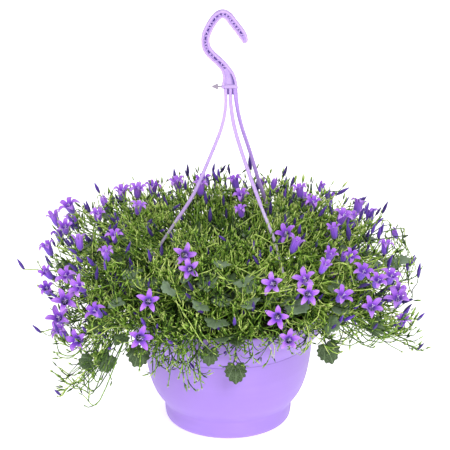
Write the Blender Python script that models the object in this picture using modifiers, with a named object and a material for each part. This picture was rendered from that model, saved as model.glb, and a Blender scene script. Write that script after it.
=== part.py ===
"""A campanula in a hanging pot: plastic pot, one-piece hanger, soil, leafy sprays and violet blooms.

Metres, +Z up. The origin is the centre of the pot's underside and the front is towards -Y.
"""

import math
import random

import bmesh
import bpy
import numpy as np
from mathutils import Matrix, Vector

UP = Vector((0, 0, 1))
AXES = [Vector((1, 0, 0)), Vector((0, 1, 0)), UP]
GAP = 0.0003
WELD = 0.000001

# Pot: the outer side from the rim down to the foot, as (radius, height).
RIM_TOP = 0.1555
RIM_RADIUS = 0.125
POT_WALL = 0.0022
POT_FLOOR = 0.0025
POT_STEPS = 32
POT_OUTER = [
    (RIM_RADIUS, 0.1548),
    (0.1212, 0.1420),
    (0.1180, 0.1325),
    (0.1130, 0.1225),
    (0.1065, 0.1135),
    (0.1016, 0.1082),
    (0.1004, 0.1030),
    (0.0982, 0.0820),
    (0.0942, 0.0600),
    (0.0885, 0.0430),
    (0.0820, 0.0325),
    (0.0768, 0.0260),
    (0.0752, 0.0215),
    (0.0752, 0.0120),
    (0.0728, 0.0045),
    (0.0680, 0.0006),
    (0.0650, 0.0),
]
POT_INNER_HEIGHTS = [0.1420, 0.1225, 0.1082, 0.0820, 0.0430, 0.0215]
RIM_ROUND = 0.0006
FLOOR_ROUND = 0.0040
FLOOR_FLAT = 0.0660
DRAIN_HOLES = 6
DRAIN_RING = 0.045
DRAIN_RADIUS = 0.004

# Soil: the crowned top, and the hole that each clump stands in.
SOIL_TOP = 0.1420
SOIL_EDGE = 0.1385
NECK_RADIUS = 0.0075
NECK_DEPTH = 0.012
HOLE_PLAY = 0.00036

# Hook: its centre line in the plane Y = 0 from its tip to its foot, as (across, height, half its width).
HOOK_LINE = [
    (0.0200, 0.4898, 0.0036),
    (0.0182, 0.4945, 0.0046),
    (0.0130, 0.5032, 0.0050),
    (0.0060, 0.5128, 0.0050),
    (0.0010, 0.5200, 0.0050),
    (-0.0050, 0.5240, 0.0050),
    (-0.0112, 0.5223, 0.0050),
    (-0.0170, 0.5155, 0.0050),
    (-0.0222, 0.5062, 0.0050),
    (-0.0258, 0.4972, 0.0050),
    (-0.0268, 0.4890, 0.0050),
    (-0.0257, 0.4812, 0.0050),
    (-0.0222, 0.4743, 0.0050),
    (-0.0160, 0.4674, 0.0050),
    (-0.0092, 0.4606, 0.0050),
    (-0.0036, 0.4535, 0.0053),
    (0.0002, 0.4454, 0.0068),
    (0.0018, 0.4376, 0.0082),
    (0.0019, 0.4281, 0.0098),
]
HOOK_DEPTH = 0.0060
HOOK_NOSE = 0.0034
POCKET_DEPTH = 0.0018
POCKET_HALF = 0.0031
POCKET_PITCH = 0.0074
POCKET_START = 1.2
POCKET_FILL = 0.94
RIB = 0.0011

# Hub: the block under the hook's foot, which the arms leave side by side.
HUB_AT = Vector((0.0026, 0, 0.4293))
HUB_SIZE = Vector((0.0156, 0.0066, 0.0080))

# Barb in the foot's left side: (out from the side, rise, radius), from its root to its tip.
BARB_AT = Vector((-0.0076, 0, 0.4299))
BARB = [
    (-0.0020, 0.0000, 0.0009),
    (0.0042, -0.0001, 0.0009),
    (0.0044, -0.0001, 0.0031),
    (0.0118, -0.0003, 0.0005),
]

# Arms: each one's direction, its place across the hub, its bow to +X and its sway, which adds to the bow in the
# lower half and takes from it in the upper half. ARM_LINE is their height and distance from the middle.
ARMS = [
    (-84.5, -0.0033, 0.0065, -0.0013),
    (35.5, 0.0028, 0.0107, 0.0062),
    (155.5, 0.0083, 0.0124, 0.0027),
]
ARM_LINE = [
    (0.4290, 0.0000),
    (0.4050, 0.0023),
    (0.3750, 0.0107),
    (0.3330, 0.0287),
    (0.2900, 0.0468),
    (0.2500, 0.0703),
    (0.2050, 0.0958),
    (0.1700, 0.1093),
    (0.1475, 0.1165),
]
ARM_RADIUS = 0.0019
TOE_AT = 0.1475
TOE_REACH = 0.1262
TOE_WIDE = 0.0052
TOE_HIGH = 0.0026
TOE_INSIDE = 0.006

# Plant: how far it reaches in front, at the sides and behind, and the shape of its cushion.
REACH_FRONT = 0.152
REACH_SIDE = 0.218
REACH_BACK = 0.207
WAIST = 0.178
RISE = 0.086
DROP = 0.078
ROUNDNESS = 2.6

# The photograph's view, for the blooms and leaves that are placed by their pixel in it.
VIEW_TILT = math.radians(24.5)
TO_VIEW = Vector((0, -math.cos(VIEW_TILT), math.sin(VIEW_TILT)))
PIXEL = 0.00119
AXIS_PX = 228.0
BASE_PX = 415.6

# Blooms seen in the photograph: pixel across, pixel down, size, and how much it faces the view.
SEEN_BLOOMS = [
    (272.7, 281, 1.0, 0.9),
    (305, 279, 1.0, 0.85),
    (278, 317, 1.0, 0.9),
    (183.5, 253, 1.0, 0.9),
    (189.5, 266.5, 0.95, 0.85),
    (141, 337, 1.05, 0.75),
    (147.5, 299, 0.95, 0.6),
    (239.7, 195, 0.85, 0.5),
    (242, 212, 0.8, 0.1),
    (69.4, 207, 1.0, 0.35),
    (65, 300, 1.05, 0.7),
    (108, 255, 0.95, 0.1),
    (98, 312, 1.0, 0.25),
    (293, 246, 1.05, 0.15),
    (287, 234, 0.95, 0.3),
    (341, 218, 1.05, 0.1),
    (353, 221, 0.95, 0.05),
    (334, 232, 0.9, 0.1),
    (386, 249, 0.9, 0.0),
    (301, 192, 0.9, 0.05),
    (314, 205, 0.95, 0.1),
    (122, 194, 0.95, 0.1),
    (136, 192, 0.95, 0.1),
    (138, 208, 0.85, 0.2),
    (199.6, 189, 0.95, 0.1),
    (236, 184, 0.9, 0.0),
    (56, 220, 0.95, 0.1),
    (80, 243, 0.95, 0.2),
    (49, 249, 0.95, 0.1),
    (69, 277, 1.05, 0.2),
    (58, 319, 1.05, 0.2),
    (78, 339, 1.05, 0.75),
    (287, 340, 0.95, 0.3),
    (339.7, 297, 1.0, 0.3),
    (328, 256, 0.95, 0.3),
    (360, 274, 1.05, 0.15),
    (391, 279, 1.0, 0.2),
    (399, 300, 1.05, 0.35),
    (371, 307, 1.0, 0.4),
    (401, 324, 0.9, 0.1),
    (47, 289, 0.9, 0.1),
    (348, 256, 0.9, 0.2),
    (82, 287, 1.05, 0.2),
    (98, 216, 0.9, 0.1),
    (306, 294, 0.95, 0.9),
    (377, 281, 1.0, 0.25),
    (114, 237, 0.85, 0.1),
    (66, 228, 0.95, 0.2),
    (321.5, 268, 0.9, 0.1),
    (62, 332, 1.0, 0.3),
    (305, 202, 0.9, 0.1),
]
BACK_BLOOMS = 14
BLOOM_NODES = 38

# Large leaves seen in the photograph: pixel across, pixel down, width, and 1 where one hangs over the rim.
SEEN_LEAVES = [
    (235.7, 371.4, 0.024, 1),
    (209.5, 355, 0.021, 1),
    (324.5, 350.5, 0.026, 1),
    (110, 362, 0.026, 1),
    (142, 353, 0.027, 1),
    (331, 324, 0.022, 0),
    (374.8, 326, 0.022, 0),
    (332, 308, 0.020, 0),
    (216.5, 321, 0.028, 0),
    (237, 339, 0.024, 0),
    (222, 263, 0.020, 0),
    (243, 280, 0.024, 0),
    (169, 288, 0.021, 0),
    (200.6, 305, 0.022, 0),
    (250, 302, 0.022, 0),
    (88, 362, 0.022, 0),
]
OUTER_LEAVES = 1
INNER_LEAVES = 1
BUDS_A_CLUMP = 1
LEAF_WIDTHS = (0.017, 0.024)
SECTOR_TRIES = 60

# Buds that stand furthest out in the photograph: pixel across, pixel down of the tip.
SEEN_BUDS = [
    (12, 259),
    (26, 327),
    (45, 234),
    (83, 200),
    (150, 181),
    (259, 171),
    (287, 187),
    (372, 229),
    (394, 263),
    (417, 306),
    (431, 314),
    (50, 392),
    (207, 246),
    (128, 258),
    (261, 249),
    (430, 345),
]

# Clumps: outer ones stand in twelve sectors between the arms, inner ones in six.
OUTER_CLUMPS = 12
OUTER_RING = 0.086
OUTER_CORE = Vector((0.0255, 0.0185, 0.034))
OUTER_MIDDLE = 0.178
INNER_CLUMPS = 6
INNER_RING = 0.034
INNER_CORE = Vector((0.018, 0.0145, 0.040))
INNER_MIDDLE = 0.186
CORE_POINTS = (0.86, 1.0)
CORE_DIPS = (0.45, 0.62)
SEED = 21

# Room kept between pieces of different nodes, and around the pot.
CLEAR = 0.0024
BLOOM_CLEAR = 0.0016
CORE_CLEAR = 0.001
RIM_CLEAR = 0.002
SOIL_CLEAR = 0.003
INSIDE_CLEAR = 0.012
OWN_STEM_CLEAR = 0.0035

# Moves along the view that are tried until a piece is clear.
BLOOM_MOVES = (0, 0.012, -0.012, 0.024, -0.024, 0.036, 0.048)
BUD_MOVES = (0, 0.010, -0.010, 0.020, -0.020, 0.030, 0.045, -0.045)
LEAF_MOVES = (0.0, 0.006, 0.012, 0.020)

# Blooms and buds: how much they grow upright, away from the cushion and askew.
UPRIGHT = 0.75
OUTWARD = 0.55
WOBBLE = 0.30

# Stems: how they leave the core, bend and reach over the rim.
ROOT_LEAN = 0.005
ROOT_STEP = 0.0034
ROOT_STEPS = 7
STEM_LEAN = 0.25
STEM_RISE = 0.42
STEM_APPROACH = 0.28
OVER_RIM = Vector((RIM_RADIUS + 0.008, 0, RIM_TOP + 0.014))
HANG_OUT = 0.012

# Bloom, bud and leaf, at size 1.
BELL_BASE = 0.0022
BELL_RING = (0.0050, 0.0080)
BELL_THROAT = 0.0094
NOTCH = (0.0059, 0.0130)
SHOULDER = (0.0106, 0.0171)
SHOULDER_ANGLE = math.radians(15.5)
LOBE_TIP = (0.0158, 0.0168)
LOBES = 5
RIM_SHARE = 0.9
BLADE = 0.0014
BUD_LENGTH = 0.019
BUD_BELLY = 0.0072
BUD_RADIUS = 0.0025
STEM = 0.0010
CALYX = 0.0026
CALYX_LENGTH = 0.0033
FIRST_BLOOM_ID = 1000
LEAF_TEETH = 6
LEAF_HALF_THICK = 0.0007

# Leaf outline as shares of its width: the middle, a tooth, a dip between teeth, the end and the fold.
LEAF_HEART = 0.42
LEAF_PEAK = 0.56
LEAF_DIP = 0.45
LEAF_END = 0.60
LEAF_FOLD = 0.10


def clear_scene():
    for item in list(bpy.data.objects):
        bpy.data.objects.remove(item, do_unlink=True)


def new_collection(name):
    group = bpy.data.collections.new(name)
    bpy.context.scene.collection.children.link(group)
    return group


def plain_material(name, color, roughness):
    material = bpy.data.materials.new(name)
    material.use_nodes = True
    shader = material.node_tree.nodes["Principled BSDF"]
    shader.inputs["Base Color"].default_value = (*color, 1)
    shader.inputs["Roughness"].default_value = roughness
    shader.inputs["Metallic"].default_value = 0.0
    material.diffuse_color = (*color, 1)
    return material


def add_object(name, data, collection, material=None):
    item = bpy.data.objects.new(name, data)
    collection.objects.link(item)
    if material:
        item.data.materials.append(material)
    return item


def mesh_from(build, name):
    """A mesh from a function that fills a bmesh, with its faces turned outwards."""
    shape = bmesh.new()
    build(shape)
    bmesh.ops.recalc_face_normals(shape, faces=shape.faces)
    mesh = bpy.data.meshes.new(name)
    shape.to_mesh(mesh)
    shape.free()
    return mesh


def round_off(item, angle=40):
    item.data.shade_smooth()
    item.data.set_sharp_from_angle(angle=math.radians(angle))


def as_cutter(item):
    item.hide_render = True
    item.display_type = "WIRE"
    return item


def turned(name, profile, collection, material):
    """A body turned round Z from (radius, height) points that start and end on the axis."""
    mesh = bpy.data.meshes.new(name)
    points = [(radius, 0, height) for radius, height in profile]
    edges = [(n, n + 1) for n in range(len(points) - 1)]
    mesh.from_pydata(points, edges, [])
    item = add_object(name, mesh, collection, material)
    screw = item.modifiers.new("Turn", "SCREW")
    screw.steps = POT_STEPS
    screw.render_steps = POT_STEPS
    screw.use_merge_vertices = True
    screw.merge_threshold = 10 * WELD
    screw.use_smooth_shade = True
    return item


def apply_modifiers(item):
    """Replaces an object's mesh by what its modifiers make of it."""
    mesh = evaluated_mesh(item)
    item.modifiers.clear()
    item.data = mesh


def evaluated_mesh(item):
    """What an object's modifiers make of it, with the Boolean solver that leaves it closed."""
    knives = [modifier for modifier in item.modifiers if modifier.type == "BOOLEAN"]
    for solver in ("EXACT", "MANIFOLD"):
        for knife in knives:
            knife.solver = solver
        view = bpy.context.evaluated_depsgraph_get()
        mesh = bpy.data.meshes.new_from_object(item.evaluated_get(view))
        keep_outer_body(mesh)
        if is_closed(mesh):
            break
    return mesh


def cut(item, cutters):
    knife = item.modifiers.new("Cut", "BOOLEAN")
    knife.operation = "DIFFERENCE"
    knife.operand_type = "COLLECTION"
    knife.collection = cutters


def smooth_path(points, steps):
    """Points along a Catmull-Rom curve, with so many steps for each stretch."""
    row = [2 * points[0] - points[1], *points, 2 * points[-1] - points[-2]]
    path = []
    for n in range(len(points) - 1):
        a, b, c, d = row[n : n + 4]
        for step in range(steps):
            t = step / steps
            straight = 2 * b + (c - a) * t
            bend = (2 * a - 5 * b + 4 * c - d) * t**2
            twist = (3 * b - a - 3 * c + d) * t**3
            path.append(0.5 * (straight + bend + twist))
    path.append(points[-1].copy())
    return path


def tube(name, path, radii, sides, collection, material=None):
    """A closed tube along a path: a curve with a bevel of few sides, made a mesh with its caps welded."""
    ring = bpy.data.curves.new(name + "_ring", "CURVE")
    ring.dimensions = "2D"
    loop = ring.splines.new("POLY")
    loop.points.add(sides - 1)
    for n in range(sides):
        turn = 2 * math.pi * n / sides
        loop.points[n].co = (math.cos(turn) * 0.001, math.sin(turn) * 0.001, 0, 1)
    loop.use_cyclic_u = True
    profile = add_object(name + "_ring", ring, collection)
    curve = bpy.data.curves.new(name, "CURVE")
    curve.dimensions = "3D"
    curve.bevel_mode = "OBJECT"
    curve.bevel_object = profile
    curve.use_fill_caps = True
    line = curve.splines.new("POLY")
    line.points.add(len(path) - 1)
    for n, (point, radius) in enumerate(zip(path, radii)):
        line.points[n].co = (*point, 1)
        line.points[n].radius = radius / 0.001
    wire = add_object(name + "_wire", curve, collection)
    view = bpy.context.evaluated_depsgraph_get()
    mesh = bpy.data.meshes.new_from_object(wire.evaluated_get(view))
    body = bmesh.new()
    body.from_mesh(mesh)
    bmesh.ops.remove_doubles(body, verts=body.verts, dist=WELD)
    bmesh.ops.recalc_face_normals(body, faces=body.faces)
    body.to_mesh(mesh)
    body.free()
    item = add_object(name, mesh, collection, material)
    item.matrix_world = wire.matrix_world.copy()
    bpy.data.objects.remove(wire, do_unlink=True)
    bpy.data.objects.remove(profile, do_unlink=True)
    return item


def box(name, size, matrix, collection, material=None):
    def build(shape):
        bmesh.ops.create_cube(shape, size=1, matrix=matrix @ Matrix.Diagonal((*size, 1)))

    return add_object(name, mesh_from(build, name), collection, material)


def joined(name, pieces, collection, material):
    """One body from the objects of a scratch collection, by one union that is applied."""
    first, *others = pieces.objects
    union = first.modifiers.new("Join", "BOOLEAN")
    union.operation = "UNION"
    union.operand_type = "COLLECTION"
    rest = new_collection(name + "_rest")
    for item in others:
        rest.objects.link(item)
    union.collection = rest
    mesh = evaluated_mesh(first)
    mesh.name = name
    for item in list(pieces.objects):
        bpy.data.objects.remove(item, do_unlink=True)
    bpy.data.collections.remove(rest)
    bpy.data.collections.remove(pieces)
    mesh.materials.clear()
    return add_object(name, mesh, collection, material)


def is_closed(mesh):
    shape = bmesh.new()
    shape.from_mesh(mesh)
    closed = all(len(edge.link_faces) == 2 for edge in shape.edges)
    shape.free()
    return closed


def keep_outer_body(mesh):
    """Drops sealed hollows and loose scraps, so that one closed body is left."""
    shape = bmesh.new()
    shape.from_mesh(mesh)
    bmesh.ops.triangulate(shape, faces=shape.faces)
    left = set(shape.verts)
    islands = []
    while left:
        island = {left.pop()}
        edge = list(island)
        while edge:
            vertex = edge.pop()
            for link in vertex.link_edges:
                other = link.other_vert(vertex)
                if other in left:
                    left.remove(other)
                    island.add(other)
                    edge.append(other)
        islands.append(island)
    islands.sort(key=len)
    scraps = [vertex for island in islands[:-1] for vertex in island]
    bmesh.ops.delete(shape, geom=scraps, context="VERTS")
    shape.to_mesh(mesh)
    shape.free()


def pot_inner(height):
    """The inner wall's radius at a height."""
    heights = [point[1] for point in reversed(POT_OUTER)]
    radii = [point[0] for point in reversed(POT_OUTER)]
    return float(np.interp(height, heights, radii)) - POT_WALL


def make_pot(parts, cutters, material):
    rim = [(RIM_RADIUS - RIM_ROUND, RIM_TOP), (RIM_RADIUS - POT_WALL, RIM_TOP)]
    inner = [(pot_inner(height), height) for height in POT_INNER_HEIGHTS]
    corner = POT_FLOOR + FLOOR_ROUND
    floor = [(pot_inner(corner), corner), (FLOOR_FLAT, POT_FLOOR), (0, POT_FLOOR)]
    outline = [*reversed(floor), *reversed(inner), *reversed(rim), *POT_OUTER, (0, 0)]
    pot = turned("pot", outline, parts, material)
    drill = new_collection("pot_cutters")
    for n in range(DRAIN_HOLES):
        turn = 2 * math.pi * n / DRAIN_HOLES
        at = Vector((math.cos(turn), math.sin(turn), 0)) * DRAIN_RING

        def hole(shape, at=at):
            bmesh.ops.create_cone(
                shape,
                cap_ends=True,
                segments=8,
                radius1=DRAIN_RADIUS,
                radius2=DRAIN_RADIUS,
                depth=4 * POT_FLOOR,
                matrix=Matrix.Translation(at),
            )

        as_cutter(add_object(f"drain_{n + 1}", mesh_from(hole, "drain"), drill))
    for n, (azimuth, *_) in enumerate(ARMS):
        size = Vector((5 * POT_WALL, TOE_WIDE + 2 * GAP, TOE_HIGH + 2 * GAP))
        at = outward(azimuth) * pot_inner(TOE_AT) + UP * TOE_AT
        slot = box(f"slot_{n + 1}", size, Matrix.Translation(at) @ turn_to(azimuth), drill)
        as_cutter(slot)
    cut(pot, drill)
    apply_modifiers(pot)
    round_off(pot)
    for item in list(drill.objects):
        drill.objects.unlink(item)
        cutters.objects.link(item)
    bpy.data.collections.remove(drill)
    return pot


def outward(azimuth):
    """The level direction at an angle from the front, positive to the right."""
    turn = math.radians(azimuth)
    return Vector((math.sin(turn), -math.cos(turn), 0))


def turn_to(azimuth):
    """Turns +X to point outwards at that angle."""
    return Matrix.Rotation(math.radians(azimuth - 90), 4, "Z")


def make_soil(parts, clumps, material):
    heights = [height for height in POT_INNER_HEIGHTS if height < SOIL_EDGE]
    side = [(pot_inner(height) - GAP, height) for height in heights]
    top = [(0, SOIL_TOP), (pot_inner(SOIL_EDGE) - GAP, SOIL_EDGE)]
    low = POT_FLOOR + GAP
    corner = low + FLOOR_ROUND
    foot = [(pot_inner(corner) - 2 * GAP, corner), (FLOOR_FLAT - 2 * GAP, low), (0, low)]
    soil = turned("soil", [*top, *side, *foot], parts, material)
    holes = new_collection("soil_cutters")
    for clump in clumps:

        def hole(shape, clump=clump):
            bmesh.ops.create_cone(
                shape,
                cap_ends=True,
                segments=6,
                radius1=NECK_RADIUS + HOLE_PLAY,
                radius2=NECK_RADIUS + HOLE_PLAY,
                depth=2 * (NECK_DEPTH + GAP),
                matrix=Matrix.Translation((clump.at.x, clump.at.y, SOIL_TOP)),
            )

        as_cutter(add_object("hole_" + clump.name, mesh_from(hole, "hole"), holes))
    cut(soil, holes)
    apply_modifiers(soil)
    round_off(soil)
    for item in list(holes.objects):
        bpy.data.objects.remove(item, do_unlink=True)
    bpy.data.collections.remove(holes)
    return soil


def hook_path(steps):
    """The hook's centre line, and half its width at each point of it."""
    rows = smooth_path([Vector(row) for row in HOOK_LINE], steps)
    return [Vector((x, 0, z)) for x, z, _ in rows], [half for _, _, half in rows]


def hook_edge(path, halves, turn):
    """One edge of the hook in its own plane: turn is 1 for its left side and -1 for its right one."""
    moved = []
    for n, point in enumerate(path):
        ahead = path[min(n + 1, len(path) - 1)] - path[max(n - 1, 0)]
        side = Vector((-ahead.z, 0, ahead.x)).normalized()
        moved.append(point + side * halves[n] * turn)
    return moved


def flat_band(name, outline, depth, collection):
    """A flat outline in the plane Y = 0, filled and given its depth."""
    curve = bpy.data.curves.new(name, "CURVE")
    curve.dimensions = "2D"
    curve.fill_mode = "BOTH"
    curve.extrude = depth / 2
    line = curve.splines.new("POLY")
    line.points.add(len(outline) - 1)
    for n, point in enumerate(outline):
        line.points[n].co = (point.x, point.z, 0, 1)
    line.use_cyclic_u = True
    sheet = add_object(name + "_sheet", curve, collection)
    sheet.rotation_euler = (math.pi / 2, 0, 0)
    bpy.context.view_layer.update()
    view = bpy.context.evaluated_depsgraph_get()
    mesh = bpy.data.meshes.new_from_object(sheet.evaluated_get(view))
    body = bmesh.new()
    body.from_mesh(mesh)
    bmesh.ops.remove_doubles(body, verts=body.verts, dist=WELD)
    bmesh.ops.recalc_face_normals(body, faces=body.faces)
    body.to_mesh(mesh)
    body.free()
    mesh.transform(sheet.matrix_world)
    item = add_object(name, mesh, collection)
    bpy.data.objects.remove(sheet, do_unlink=True)
    return item


def arm_point(arm, height):
    """A point of an arm's centre line at a height."""
    azimuth, place, bow, sway = arm
    heights = [point[0] for point in reversed(ARM_LINE)]
    radii = [point[1] for point in reversed(ARM_LINE)]
    rise = min(max((height - RIM_TOP) / (HUB_AT.z - RIM_TOP), 0), 1)
    across = place * rise + bow * math.sin(math.pi * rise) + sway * math.sin(2 * math.pi * rise)
    return outward(azimuth) * float(np.interp(height, heights, radii)) + Vector((across, 0, height))


def arm_path(arm, steps):
    return smooth_path([arm_point(arm, height) for height, _ in ARM_LINE], steps)


def make_hanger(parts, material):
    """The hook with its ribbed pockets, the hub, the arms and their toes, joined in one body."""
    path, halves = hook_path(2)
    pieces = new_collection("hanger_pieces")
    nose = path[0] + (path[0] - path[1]).normalized() * HOOK_NOSE
    outline = [*hook_edge(path, halves, 1), *reversed(hook_edge(path, halves, -1)), nose]
    band = flat_band("band", outline, HOOK_DEPTH, pieces)
    pockets = new_collection("hanger_pockets")
    make_pockets(pockets)
    barb_shape("barb_socket", pockets, GAP)
    cut(band, pockets)
    apply_modifiers(band)
    for item in list(pockets.objects):
        bpy.data.objects.remove(item, do_unlink=True)
    bpy.data.collections.remove(pockets)

    box("hub", HUB_SIZE, Matrix.Translation(HUB_AT), pieces)
    for n, arm in enumerate(ARMS):
        azimuth = arm[0]
        line = arm_path(arm, 2)
        tube(f"arm_{n + 1}", line, [ARM_RADIUS] * len(line), 4, pieces)
        inside = pot_inner(TOE_AT) - TOE_INSIDE
        reach = TOE_REACH - inside
        at = outward(azimuth) * (inside + reach / 2) + UP * TOE_AT
        size = Vector((reach, TOE_WIDE, TOE_HIGH))
        box(f"toe_{n + 1}", size, Matrix.Translation(at) @ turn_to(azimuth), pieces)
    hanger = joined("hanger", pieces, parts, material)
    round_off(hanger, 35)
    return hanger


def make_pockets(collection):
    """Three-cornered pockets on both faces of the hook, which leave a zigzag rib between them."""
    path, _ = hook_path(6)
    lengths = [0.0]
    for a, b in zip(path, path[1:]):
        lengths.append(lengths[-1] + (b - a).length)
    count = int((lengths[-1] - 2 * POCKET_PITCH) / POCKET_PITCH)

    def at(distance, side):
        n = int(np.searchsorted(lengths, distance)) - 1
        n = min(max(n, 0), len(path) - 2)
        share = (distance - lengths[n]) / (lengths[n + 1] - lengths[n])
        ahead = (path[n + 1] - path[n]).normalized()
        return path[n].lerp(path[n + 1], share) + Vector((-ahead.z, 0, ahead.x)) * side

    for face in (-1, 1):
        for n in range(count):
            side = POCKET_HALF if n % 2 else -POCKET_HALF
            middle = POCKET_PITCH * (n + POCKET_START)
            reach = POCKET_PITCH - RIB
            corners = [at(middle - reach, side), at(middle + reach, side), at(middle, -side)]
            heart = sum(corners, Vector()) / 3
            outside = Vector((0, face * (HOOK_DEPTH / 2 + POCKET_DEPTH), 0))
            inwards = Vector((0, -face * 2 * POCKET_DEPTH, 0))
            corners = [heart.lerp(corner, POCKET_FILL) + outside for corner in corners]

            def pocket(shape, corners=corners, inwards=inwards):
                mouth = shape.faces.new([shape.verts.new(corner) for corner in corners])
                grown = bmesh.ops.extrude_face_region(shape, geom=[mouth])
                moved = [item for item in grown["geom"] if isinstance(item, bmesh.types.BMVert)]
                bmesh.ops.translate(shape, verts=moved, vec=inwards)

            add_object(f"pocket_{face}_{n}", mesh_from(pocket, "pocket"), collection)


def barb_shape(name, collection, grow, material=None):
    """The arrow-shaped barb: a thin stem in the side of the hook's foot and a flat head."""
    path = [BARB_AT + Vector((-out, 0, rise)) for out, rise, _ in BARB]
    radii = [radius + grow for _, _, radius in BARB]
    return tube(name, path, radii, 4, collection, material)


class Clump:
    """A clump of the plant: its place, its core and the pieces that grow from it."""

    def __init__(self, name, azimuth, ring, middle, core):
        self.name = name
        self.azimuth = azimuth
        self.at = outward(azimuth) * ring
        self.middle = self.at + UP * middle
        self.core = core
        self.stems = []
        self.buds = []
        self.blooms = []
        self.leaves = []

    def holds(self, point, margin):
        """Whether a point lies in the core, grown by a margin."""
        local = turn_to(self.azimuth).inverted() @ (point - self.middle)
        size = [axis + margin for axis in self.core]
        return sum((c / s) ** 2 for c, s in zip(local, size)) < 1


class Crowd:
    """Points on the pieces already placed, which keep pieces of other nodes clear."""

    def __init__(self, clumps):
        self.points = np.zeros((0, 4))
        self.owners = np.zeros(0, int)
        self.clumps = clumps

    def add(self, samples, owner):
        self.points = np.vstack([self.points, samples])
        self.owners = np.append(self.owners, [owner] * len(samples))

    def free(self, samples, owner, margin=CLEAR):
        """Whether samples (x, y, z, radius) are clear of the pot, other cores and other owners."""
        for x, y, z, radius in samples:
            out = math.hypot(x, y)
            if z < RIM_TOP + RIM_CLEAR + radius and out < RIM_RADIUS + RIM_CLEAR + radius:
                if z < SOIL_TOP + SOIL_CLEAR + radius or out > RIM_RADIUS - INSIDE_CLEAR - radius:
                    return False
            for n, clump in enumerate(self.clumps):
                if n != owner and clump.holds(Vector((x, y, z)), radius + CORE_CLEAR):
                    return False
        others = self.points[self.owners != owner]
        if not len(others):
            return True
        step = samples[:, None, :3] - others[None, :, :3]
        away = np.sqrt((step**2).sum(2)) - samples[:, None, 3] - others[None, :, 3]
        return bool(away.min() > margin)


def along(path, radius, step=0.003):
    """Samples (x, y, z, radius) along a path."""
    samples = []
    for a, b in zip(path, path[1:]):
        count = max(1, math.ceil((b - a).length / step))
        samples.extend((*a.lerp(b, n / count), radius) for n in range(count))
    samples.append((*path[-1], radius))
    return np.array(samples)


def reach_at(azimuth):
    """How far the cushion reaches at an angle from the front."""
    back = (1 - math.cos(math.radians(azimuth))) / 2
    front, side, behind = REACH_FRONT, REACH_SIDE, REACH_BACK
    return front + (4 * side - 3 * front - behind) * back + (2 * front + 2 * behind - 4 * side) * back**2


def fullness(point):
    """Below 1 inside the plant's cushion, 1 on its surface."""
    azimuth = math.degrees(math.atan2(point.x, -point.y))
    out = math.hypot(point.x, point.y) / reach_at(azimuth)
    lift = point.z - WAIST
    lift = lift / RISE if lift > 0 else -lift / DROP
    return out**ROUNDNESS + lift**ROUNDNESS


def cushion_normal(point):
    step = 0.002
    rise = [fullness(point + axis * step) - fullness(point - axis * step) for axis in AXES]
    return Vector(rise).normalized()


def seen_point(across, down, depth):
    """The point at that depth (along Y) which the photograph shows at a pixel."""
    lift = (BASE_PX - down) * PIXEL
    height = (lift - depth * math.sin(VIEW_TILT)) / math.cos(VIEW_TILT)
    return Vector(((across - AXIS_PX) * PIXEL, depth, height))


def on_cushion(across, down):
    """The nearest point of the cushion at a pixel, or the one that comes closest to it."""
    row = [seen_point(across, down, -0.25 + 0.004 * n) for n in range(125)]
    for point in row:
        if fullness(point) < 1:
            return point
    return min(row, key=fullness)


def stem_path(start, tip, axis, steps):
    """A stem that leaves its clump upwards and comes to its tip along the tip's axis."""
    span = (tip - start).length
    out = Vector((tip.x - start.x, tip.y - start.y, 0))
    lean = out.normalized() * STEM_LEAN if out.length > STEM else Vector()
    handle_a = start + (UP + lean) * span * STEM_RISE
    handle_b = tip - axis * span * STEM_APPROACH
    path = []
    for n in range(steps + 1):
        t = n / steps
        s = 1 - t
        path.append(s**3 * start + 3 * s * s * t * handle_a + 3 * s * t * t * handle_b + t**3 * tip)
    return path


def root_in(clump, tip):
    """Where the clump's next stem starts, deep in its core and a little towards the stem's tip."""
    step = (3 * len(clump.stems)) % ROOT_STEPS - ROOT_STEPS // 2
    return clump.middle + (tip - clump.middle).normalized() * ROOT_LEAN + UP * ROOT_STEP * step


def hung_path(start, tip, axis):
    """A stem that goes up and over the rim and hangs down to its tip."""
    level = Vector((tip.x, tip.y, 0)).normalized()
    over = level * OVER_RIM.x + UP * OVER_RIM.z
    rise = start.lerp(over, 0.5) + UP * 0.012
    return [start, rise, over, over.lerp(tip, 0.45) + level * 0.003, tip]


def nearest_clump(clumps, point):
    """The clump in whose sector a point lies."""
    azimuth = math.degrees(math.atan2(point.x, -point.y))
    inner = math.hypot(point.x, point.y) < 0.075
    chosen = clumps[OUTER_CLUMPS:] if inner else clumps[:OUTER_CLUMPS]
    return min(chosen, key=lambda clump: abs((clump.azimuth - azimuth + 180) % 360 - 180))


def bloom_samples(base, axis, size):
    side = axis.orthogonal().normalized()
    other = axis.cross(side)
    samples = [(*(base + axis * 0.004 * size), 0.003 * size)]
    for out, up in (BELL_RING, SHOULDER, LOBE_TIP):
        for n in range(10):
            turn = 2 * math.pi * n / 10
            level = side * math.cos(turn) + other * math.sin(turn)
            samples.append((*(base + (axis * up + level * out * RIM_SHARE) * size), BLADE))
    return np.array(samples)


def leaf_samples(base, ahead, face, width):
    side = ahead.cross(face).normalized()
    samples = []
    for n in range(7):
        for m in range(7):
            point = base + ahead * width * n / 6 + side * width * (m - 3) / 6
            samples.append((*point, 0.0010))
    return np.array(samples)


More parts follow.
